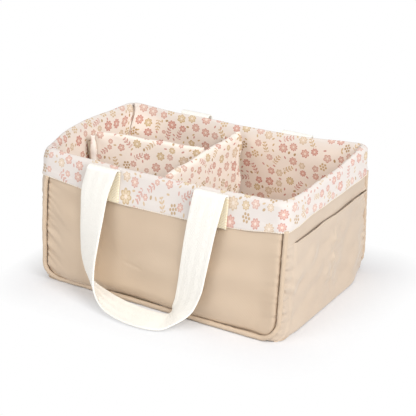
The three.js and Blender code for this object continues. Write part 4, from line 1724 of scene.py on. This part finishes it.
@dataclass(frozen=True)
class Handle:
    """A webbing handle that hangs outside a long wall as a loop with a half twist, sewn to the cuff's ends.

    The route gives, from the left fold to the right one, the points of the strap's two edges at the front.
    The back handle is the front one turned round.
    """

    body: str
    turned: bool
    form: BoxForm = BoxForm()
    width: float = 40.0
    thickness: float = 2.2
    spacing: float = 143.0
    shift: float = 3.5
    fold_radius: float = 4.5
    fold_rise: float = 2.8
    fold_height: float = 158.0
    fold_slope: float = 0.35
    seat: float = 3.1
    hem: float = 133.0
    hem_sag: float = 7.0
    hem_drop: float = 5.8
    sag_height: float = 145.0
    tab_length: float = 40.0
    tab_flat: float = 135.0
    strap_rows: int = 240
    fold_rows: int = 16
    tab_rows: int = 22
    face_points: int = 13
    edge_points: int = 7
    route: tuple[tuple[float, ...], ...] = (
        (-88.0, -111.7, 158.0, -48.0, -111.7, 158.0),
        (-96.8, -110.9, 131.0, -57.1, -115.8, 131.0),
        (-98.7, -111.4, 102.6, -60.2, -122.5, 102.6),
        (-98.6, -113.3, 74.8, -62.4, -130.2, 74.8),
        (-96.0, -114.9, 44.0, -63.6, -138.4, 44.0),
        (-85.7, -115.9, 21.7, -58.9, -145.6, 21.7),
        (-57.0, -116.8, 9.4, -43.3, -154.4, 9.4),
        (-18.3, -120.3, 4.4, -14.0, -161.5, 4.0),
        (14.9, -121.0, 3.6, 18.0, -162.5, 3.2),
        (25.5, -117.6, 3.8, 37.5, -156.0, 3.4),
        (29.0, -115.9, 6.5, 49.5, -146.0, 9.5),
        (30.6, -115.2, 14.0, 61.5, -131.5, 19.5),
        (32.0, -114.6, 24.0, 69.5, -126.5, 33.0),
        (35.5, -114.6, 42.0, 74.0, -125.0, 46.0),
        (39.5, -115.0, 66.0, 78.2, -123.5, 68.0),
        (42.8, -115.0, 88.0, 82.0, -121.5, 89.0),
        (48.3, -113.5, 122.0, 87.5, -117.5, 122.0),
        (55.0, -111.7, 158.0, 95.0, -111.7, 158.0),
    )

    @property
    def axis_out(self) -> float:
        """Distance from the middle of the box to the line that the strap folds over."""
        wall = float(self.form.away(Side.FRONT, np.array(self.fold_height)))
        return wall + self.form.corner + self.seat + self.fold_radius

    def ribbon(self, name: str, centres: Array, across: Array, start: float) -> Piece:
        """A length of webbing along a path, its section flat with half-round edges.

        Args:
            name: Name of the piece.
            centres: Points of the path.
            across: Unit vectors across it.
            start: Length of webbing before it, so that the weave runs on.

        Returns:
            The piece.
        """
        ahead = unit(np.gradient(centres, axis=0))
        normal = unit(np.cross(ahead, across))
        half, thick = self.width / 2.0, self.thickness / 2.0
        flat = np.linspace(-half + thick, half - thick, self.face_points)
        angle = np.linspace(-QUARTER, QUARTER, self.edge_points)[1:-1]
        right = np.stack([half - thick + thick * np.cos(angle), thick * np.sin(angle)], -1)
        lower = np.stack([flat, np.full(len(flat), -thick)], -1)
        loop = np.concatenate([lower, right, -lower, -right])
        points = sweep(centres, across, normal, loop)
        length = start + run_length(centres)
        wide = np.append(loop[:, 0], loop[0, 0]) + half
        cloth = np.stack(np.broadcast_arrays(wide[None, :], length[:, None]), -1)
        if self.turned:
            points = points * np.array([-1.0, -1.0, 1.0])
        return make_piece(name, Surface(points, cloth, closed=True, capped=True), flip=True)

    def path(self) -> tuple[Array, Array]:
        """Course of the strap from one sewn end over both folds to the other.

        Returns:
            The points of its middle, and the unit vectors across it.
        """
        route = np.array(self.route)
        t = np.linspace(0.0, 1.0, self.strap_rows)
        low, high = through(route[:, :3], t), through(route[:, 3:], t)
        centres, across = (low + high) / 2.0, unit(high - low)
        angle = np.linspace(0.0, math.pi, self.fold_rows)[:-1]
        folds = []
        for sign in (-1.0, 1.0):
            x = np.full(len(angle), self.shift + sign * self.spacing / 2.0)
            y = -self.axis_out + self.fold_radius * np.cos(angle)
            folds.append(np.stack([x, y, self.fold_height + self.fold_rise * np.sin(angle)], -1))
        level = np.tile([1.0, 0.0, 0.0], (len(angle), 1))
        centres = np.concatenate([folds[0], centres, folds[1][::-1]])
        across = np.concatenate([level, across, level])
        return centres, across

    def build(self) -> list[Piece]:
        """Makes the hanging strap with its folds, and the two sewn ends.

        Returns:
            The pieces.
        """
        centres, across = self.path()
        strap = self.ribbon(f"{self.body}_webbing", centres, across, self.tab_length)
        nodes = [f"{self.body}_left_fold", f"{self.body}_right_fold", f"{self.body}_strap"]
        dress(strap, Finish.WEBBING, "webbing", "", *nodes)
        lean = np.array([0.0, -1.0, -self.fold_slope]) / np.hypot(1.0, self.fold_slope)
        first = np.array([0.0, -self.axis_out + self.fold_radius, self.fold_height])
        last = np.array([0.0, -self.axis_out - self.fold_radius, self.fold_height])
        last = first + lean * float((last - first) @ lean)
        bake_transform(strap)
        made = [strap]
        level = np.tile([1.0, 0.0, 0.0], (self.tab_rows, 1))
        half = float(self.form.straight(Side.FRONT, np.array(self.sag_height)))
        for end, side in (("left", -1.0), ("right", 1.0)):
            x = self.shift + side * self.spacing / 2.0
            drop = 0.0 if self.turned else self.hem_drop
            low = self.hem - self.hem_sag * (1.0 - (x / half) ** 2) - drop
            z = np.linspace(low, self.fold_height, self.tab_rows)
            run = np.full(self.tab_rows, x)
            swell = self.form.swell(Side.FRONT, run, z) * (1.0 - ease(z, self.tab_flat, self.fold_height))
            path = self.form.place(Side.FRONT, run, z, self.seat + swell)
            tab = self.ribbon(f"{self.body}_{end}_tab", path, level, 0.0)
            # The sewn ends take the yellower webbing: painted shade under the strap.
            made.append(dress(tab, Finish.REVERSE, "webbing", "shell", f"{self.body}_{end}_end"))
        return made


# The dividers


@dataclass(frozen=True)
class Divider:
    """A padded divider: a foam board in a printed cover, flat and gathered where its ends are sewn off.

    Selvage and gathered give the width of the flat end and the reach of the gathers, at start and stop.
    """

    body: str
    start: tuple[float, float]
    stop: tuple[float, float]
    selvage: tuple[float, float]
    gathered: tuple[float, float]
    seed: int
    lean: float = 0.0
    bottom: float = 8.3
    top: float = 158.0
    thickness: float = 8.0
    thin: float = 0.8
    belly: float = 1.1
    gather: float = 1.9
    gather_pitch: float = 9.5
    sway: float = 1.6
    sway_pitch: float = 46.0
    cols: int = 96
    rows: int = 34
    cap_rows: int = 13
    solver: CoverCloth = CoverCloth()

    def build(self) -> Piece:
        """Makes the cover with its filling as one closed form.

        Half its thickness is t / 2 where it is padded and thin in the selvages. It bellies out in the
        middle, and selvages and gathers sway as sine waves that grow towards the ends.

        Returns:
            The piece.
        """
        a, b = np.array(self.start), np.array(self.stop)
        length = float(np.linalg.norm(b - a))
        way = (b - a) / length
        side = np.array([-way[1], way[0]])
        half = self.thickness / 2.0
        t = length * (1.0 + edge_spread(self.cols)) / 2.0
        rows = np.linspace(self.bottom, self.top - half, self.rows)
        angle = np.linspace(0.0, math.pi, self.cap_rows)[1:-1]
        w = np.concatenate([np.ones(self.rows), np.cos(angle), -np.ones(self.rows)])
        z = np.concatenate([rows, self.top - half + half * np.sin(angle), rows[::-1]])
        t, w, z = t[:, None], w[None, :], z[None, :]
        pad = ease(t, self.selvage[0] * 0.8, self.selvage[0] + 5.0)
        pad = pad * ease(length - t, self.selvage[1] * 0.8, self.selvage[1] + 5.0)
        belly = self.belly * np.sin(math.pi * t / length)
        belly = belly * np.sin(math.pi * ease_line(z, self.bottom, self.top))
        thick = (self.thin + (half - self.thin) * pad) + belly * pad * ease(self.top - z, 0.0, 14.0)
        near, far = (
            np.exp(-apart / max(reach, 1.0)) * (reach > 0)
            for apart, reach in zip((t, length - t), self.gathered)
        )
        phase = 0.6 * drift(0.0 * t + z, 0.0 * z, 60.0, self.seed)
        gathers = self.gather * (near + far) * np.sin(ROUND * t / self.gather_pitch + phase)
        loose = (1.0 - pad) * self.sway * np.sin(ROUND * z / self.sway_pitch + 1.1 + 0.02 * t)
        place = t - self.lean * (1.0 - ease(z, 50.0, 140.0)) * far
        soft = 0.7 * drift(t, z, 70.0, self.seed + 1) * pad
        across = w * thick + gathers + loose + soft * 0.5
        rise = 0.4 * drift(t, 0.0 * z, 55.0, self.seed + 2) - 0.8 * (1.0 - pad)
        level = np.maximum(z + rise * ease(z, 60.0, self.top), self.bottom)
        plan = a + place[..., None] * way + across[..., None] * side
        points = np.concatenate([plan, np.broadcast_to(level, plan.shape[:2])[..., None]], -1)
        around = run_length(np.stack([w[0] * half, z[0]], -1))
        around = np.append(around, around[-1] + self.thickness)
        cloth = np.stack(np.broadcast_arrays(t + self.seed, around[None, :]), -1)
        piece = make_piece(f"{self.body}_pad", Surface(points, cloth, closed=True, capped=True))
        held = np.clip(1.0 - pad + 0.0 * z, 0.0, 1.0)
        held = np.maximum(held, 1.0 - ease(z - self.bottom, 2.0, 12.0))
        self.solver.settle(piece, held.ravel())
        dress(piece, Finish.PAD_PRINT, "print", self.body, f"{self.body}_core", f"{self.body}_cover")
        return piece


@dataclass(frozen=True)
class Flap:
    """A loose end flap of a divider: a sheet over a path in plan and a span of heights, with a slight wave.

    The rise is how much higher it stands where it leaves the divider, the crumple the height of its waves.
    """

    body: str
    end: str
    path: tuple[tuple[float, float], ...]
    seed: int
    rise: float = 0.0
    crumple: float = 0.25
    wrong_side: bool = False
    span: tuple[float, float] = (98.0, 146.0)
    wave: float = 26.0
    cloth: float = 0.8
    stations: int = 26

    def build(self) -> Piece:
        """Makes the flap: course(s) + crumple drift(s, z) normal.

        Returns:
            The piece.
        """
        name = f"{self.body}_{self.end}_flap"
        path = np.array(self.path)
        even = np.linspace(0.0, 1.0, self.stations)
        course = through(np.column_stack([path, np.zeros(len(path))]), even)
        length = run_length(course)
        low, high = self.span
        tall = high - low + self.rise * (1.0 - ease(length / length[-1], 0.3, 0.55))
        z = low + even[:, None] * tall
        ahead = unit(np.gradient(course, axis=0))
        normal = np.stack([-ahead[:, 1], ahead[:, 0], 0.0 * ahead[:, 0]], -1)
        wave = self.crumple * drift(length[None, :], z, self.wave, self.seed)
        points = course[None, :, :] + wave[..., None] * normal[None, :, :]
        points[..., 2] = z
        cloth = np.stack(np.broadcast_arrays(length[None, :] + self.seed, z), -1)
        piece = make_piece(name + "_cloth", Surface(points, cloth))
        finish = Finish.WRONG_SIDE if self.wrong_side else Finish.PRINT
        dress(piece, finish, "print", self.body, name, cloth=self.cloth)
        flat = (float(run_length(path)[-1]) * MM, (high - low + self.rise) * MM)
        return piece


@dataclass(frozen=True)
class Tape:
    """A strip of hook or loop tape with rounded corners and edges, in the place of its CAD node.

    The trim is how much shorter than the node it is at its two ends, where the flap covers it.
    """

    node: str
    body: str
    trim: tuple[float, float] = (0.0, 0.0)
    share: float = 0.95
    length: float = 38.0
    rows: int = 13
    cols: int = 9

    def build(self) -> Piece:
        """Makes the strip as a pillow over the node's face.

        Its thickness is t sqrt((1 - a^10) (1 - b^8)), with a and b from -1 to 1 along and across the node.

        Returns:
            The piece.
        """
        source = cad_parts[self.node].data
        co = np.empty(len(source.vertices) * 3)
        source.vertices.foreach_get("co", co)
        co = co.reshape(-1, 3) / MM
        low, high = co.min(0), co.max(0)
        thin = int(np.argmin(high - low))
        wide = 1 - thin
        low[wide] += self.trim[0]
        high[wide] -= self.trim[1]
        plane = np.column_stack([np.ones(len(co)), co[:, wide], co[:, 2]])
        fit = np.linalg.lstsq(plane, co[:, thin], rcond=None)[0]
        thick = 2.0 * np.abs(co[:, thin] - plane @ fit).max() * self.share
        sides = (np.linspace(-1.0, 1.0, count) for count in (self.rows, self.cols))
        a, b = np.meshgrid(*sides, indexing="ij")
        shape = np.clip((1.0 - a**10) * (1.0 - b**8), 0.0, 1.0) ** 0.5
        over = (low[wide] + high[wide]) / 2.0 + b * (high[wide] - low[wide]) / 2.0
        z = (low[2] + high[2]) / 2.0 + a * (high[2] - low[2]) / 2.0
        mid = fit[0] + fit[1] * over + fit[2] * z
        faces = []
        for sign in (-1.0, 1.0):
            face = np.empty((*a.shape, 3))
            face[..., thin] = mid + sign * shape * thick / 2.0
            face[..., wide] = over
            face[..., 2] = z
            faces.append(face)
        points = np.concatenate([faces[0], faces[1][:, ::-1]], 1)
        points[..., 0] -= BoxForm().left_belly(points)
        along = np.linspace(0.0, self.length, self.rows)[:, None]
        cloth = np.stack(np.broadcast_arrays(along, np.arange(2.0 * self.cols + 1.0)[None, :]), -1)
        piece = make_piece(self.node + "_strip", Surface(points, cloth, closed=True, capped=True))
        turn_outwards(piece)
        return dress(piece, Finish.TAPE, "tape", self.body, self.node)


@dataclass(frozen=True)
class Dividers:
    """Both dividers with their end flaps and tapes.

    The long divider runs askew from its origin at the left wall to the cross divider. Its left flap stands
    off the wall and shows its wrong side.
    """

    cross_reach: float = 84.9
    skew: float = math.atan2(22.0, 147.8)
    origin: tuple[float, float] = (-153.3, -6.0)
    long_span: tuple[float, float] = (2.5, 146.0)
    front: tuple[tuple[float, float], ...] = ((0.0, -84.4), (-3.0, -85.85), (-9.0, -85.85), (-26.5, -85.85))
    right: tuple[tuple[float, float], ...] = ((-8.6, 15.8), (-7.3, 19.0), (-7.3, 28.0), (-7.3, 42.0))
    left: tuple[tuple[float, float], ...] = (
        *((-149.5, -4.5), (-150.5, -9.5), (-154.5, -10.0)),
        *((-158.0, -3.0), (-160.6, 4.0), (-160.6, 20.5)),
    )
    tapes: tuple[Tape, ...] = (
        Tape("front_loop_tape", "shell", (0.0, 8.0)),
        Tape("back_loop_tape", "shell", (0.0, 8.0)),
        Tape("left_loop_tape", "shell", (9.0, 0.0)),
        Tape("cross_divider_front_hook_tape", "cross_divider"),
        Tape("cross_divider_back_hook_tape", "cross_divider"),
        Tape("cross_divider_loop_tape", "cross_divider"),
        Tape("long_divider_left_hook_tape", "long_divider"),
        Tape("long_divider_right_hook_tape", "long_divider"),
    )

    def build(self) -> list[Piece]:
        """Makes the dividers, their flaps and all tapes.

        Returns:
            The pieces.
        """
        reach = self.cross_reach
        way = np.array([math.cos(self.skew), math.sin(self.skew)])
        ends = (tuple(np.array(self.origin) + way * d) for d in self.long_span)
        across, along = "cross_divider", "long_divider"
        parts = (
            Divider(across, (0.0, -reach), (0.0, reach), (5.0, 5.0), (12.0, 18.0), seed=310, lean=3.5),
            Divider(along, *ends, (0.5, 4.0), (0.0, 9.0), seed=340),
            Flap(across, "front", self.front, 350),
            Flap(across, "back", tuple((x, -y) for x, y in self.front), 351),
            Flap(along, "left", self.left, 352, rise=6.5, crumple=1.1, wrong_side=True),
            Flap(along, "right", self.right, 353),
            *self.tapes,
        )
        return [part.build() for part in parts]


# The picture


@dataclass(frozen=True)
class Studio:
    """Camera at the photograph's angle, plain pale floor and soft light.

    Places are in metres. The lamps give a place, the side of the square and the power in watts.
    """

    azimuth: float = 31.31
    elevation: float = 23.12
    distance: float = 1.78196
    target: tuple[float, float, float] = (0.0, 0.0, 0.090)
    sensor: float = 36.0
    lens: float = 129.17
    shift: tuple[float, float] = (0.01156, -0.00558)
    far_clip: float = 50.0
    ambient: float = 0.54
    lamp_target: tuple[float, float, float] = (0.0, 0.0, 0.08)
    lamps: ClassVar[dict[str, tuple[tuple[float, float, float], float, float]]] = {
        "left_soft_light": ((-0.9, -1.9, 1.5), 1.2, 15.5),
        "right_soft_light": ((1.7, -0.7, 1.4), 1.0, 30.0),
        "front_soft_light": ((0.9, -1.4, 1.9), 1.0, 5.5),
    }
    floor_half: float = 7000.0
    floor_level: float = -0.3
    shadow_at: tuple[float, float, float] = (0.014, -0.004, 0.0)
    shadow_half: tuple[float, float, float] = (0.156, 0.112, 1.0)
    shadow_fade: float = 0.075

    def aim(self, name: str, data: Any, at: Vector, ahead: Vector) -> Piece:
        """Adds a camera or a lamp that looks a certain way.

        Args:
            name: Its name.
            data: The camera or lamp.
            at: Its place.
            ahead: The way that it looks.

        Returns:
            The object.
        """
        made = bpy.data.objects.new(name, data)
        bpy.context.scene.collection.objects.link(made)
        made.location = at
        made.rotation_mode = "QUATERNION"
        made.rotation_quaternion = ahead.to_track_quat("-Z", "Y")
        return made

    def camera(self) -> None:
        """Makes the camera and sets it as the scene's."""
        a, e = math.radians(self.azimuth), math.radians(self.elevation)
        back = Vector((math.sin(a) * math.cos(e), -math.cos(a) * math.cos(e), math.sin(e)))
        data = bpy.data.cameras.new("camera")
        data.sensor_width = self.sensor
        data.lens = self.lens
        data.shift_x, data.shift_y = self.shift
        data.clip_end = self.far_clip
        at = Vector(self.target) + back * self.distance
        bpy.context.scene.camera = self.aim("camera", data, at, -back)

    def light(self) -> None:
        """Makes the square soft lights, which face the object."""
        for name, (at, size, power) in self.lamps.items():
            data = bpy.data.lights.new(name, "AREA")
            data.energy = power
            data.size = size
            self.aim(name, data, Vector(at), Vector(self.lamp_target) - Vector(at))

    def world(self) -> None:
        """A white surround: plain white to the camera and in gloss, and an even soft light for the rest."""
        world = bpy.data.worlds.new("surround")
        bpy.context.scene.world = world
        world.use_nodes = True
        tree = world.node_tree
        tree.nodes.clear()
        add = partial(add_node, tree)
        rays = add("LightPath").outputs
        seen = add("Math.MAXIMUM", rays["Is Camera Ray"], rays["Is Glossy Ray"])
        both = add("Math.MAXIMUM", seen, rays["Is Transmission Ray"])
        strength = add("MapRange", both, links={3: self.ambient, 4: 1.0})
        light = add("Background", linear("ffffff"), strength)
        add("OutputWorld", links={"Surface": light})

    def floor(self) -> None:
        """A wide pale floor that keeps the caddy's soft shadow and goes over into white further out."""
        edge = np.linspace(-self.floor_half, self.floor_half, 15)
        x, y = np.meshgrid(edge, edge, indexing="ij")
        points = np.stack([x, y, np.full_like(x, self.floor_level)], -1)
        floor = make_piece("floor", Surface(points, np.stack([x, y], -1)))
        look = {"Roughness": 1.0, "Specular IOR Level": 0.0}
        material, add, shader = blank_material("painted_studio_floor", look)
        tree = shader.id_data
        place = add("TexCoord").outputs["Object"]
        noise = add("TexNoise", links={"Vector": place, "Scale": 3.0})
        tones = {6: linear("e9e9eb"), 7: linear("ebebed")}
        tone = add("Mix", noise, links=tones, data_type="RGBA")
        tree.links.new(tone.outputs[2], shader.inputs["Base Color"])
        shift = add("VectorMath.SUBTRACT", place, self.shadow_at)
        apart = add("VectorMath.ABSOLUTE", shift)
        past = add("VectorMath.SUBTRACT", apart, self.shadow_half)
        beyond = add("VectorMath.MAXIMUM", past, (0.0, 0.0, 0.0))
        away = add("VectorMath.LENGTH", beyond)
        far = add("MapRange", away.outputs["Value"], 0.0, self.shadow_fade)
        camera = add("LightPath").outputs["Is Camera Ray"]
        seen = add("Math.MULTIPLY", far, camera)
        white = add("Emission", linear("ffffff"), 1.0)
        both = add("MixShader", seen, shader, white)
        output = next(node for node in tree.nodes if node.type == "OUTPUT_MATERIAL")
        tree.links.new(both.outputs[0], output.inputs["Surface"])
        floor.data.materials.append(material)

    def build(self) -> None:
        """Sets up the camera, the surround, the floor and the lights."""
        bpy.context.scene.view_settings.view_transform = "Standard"
        self.camera()
        self.world()
        self.floor()
        self.light()


def main() -> None:
    """Builds the picture and the pieces in order, and logs how many points each piece has."""
    logging.basicConfig(level=logging.INFO, format="%(name)s %(message)s")
    Studio().build()
    shell = Shell()
    steps = (
        shell.build_panels,
        shell.build_piping,
        shell.build_pockets,
        Base().build,
        Lining().build,
        WallPadding().build,
        Handle("front_handle", turned=False).build,
        Handle("back_handle", turned=True).build,
        Dividers().build,
    )
    for step in steps:
        for piece in step():
            LOG.info("%s: %d points", piece.name, len(piece.data.vertices))
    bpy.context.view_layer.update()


if __name__ == "__main__":
    main()
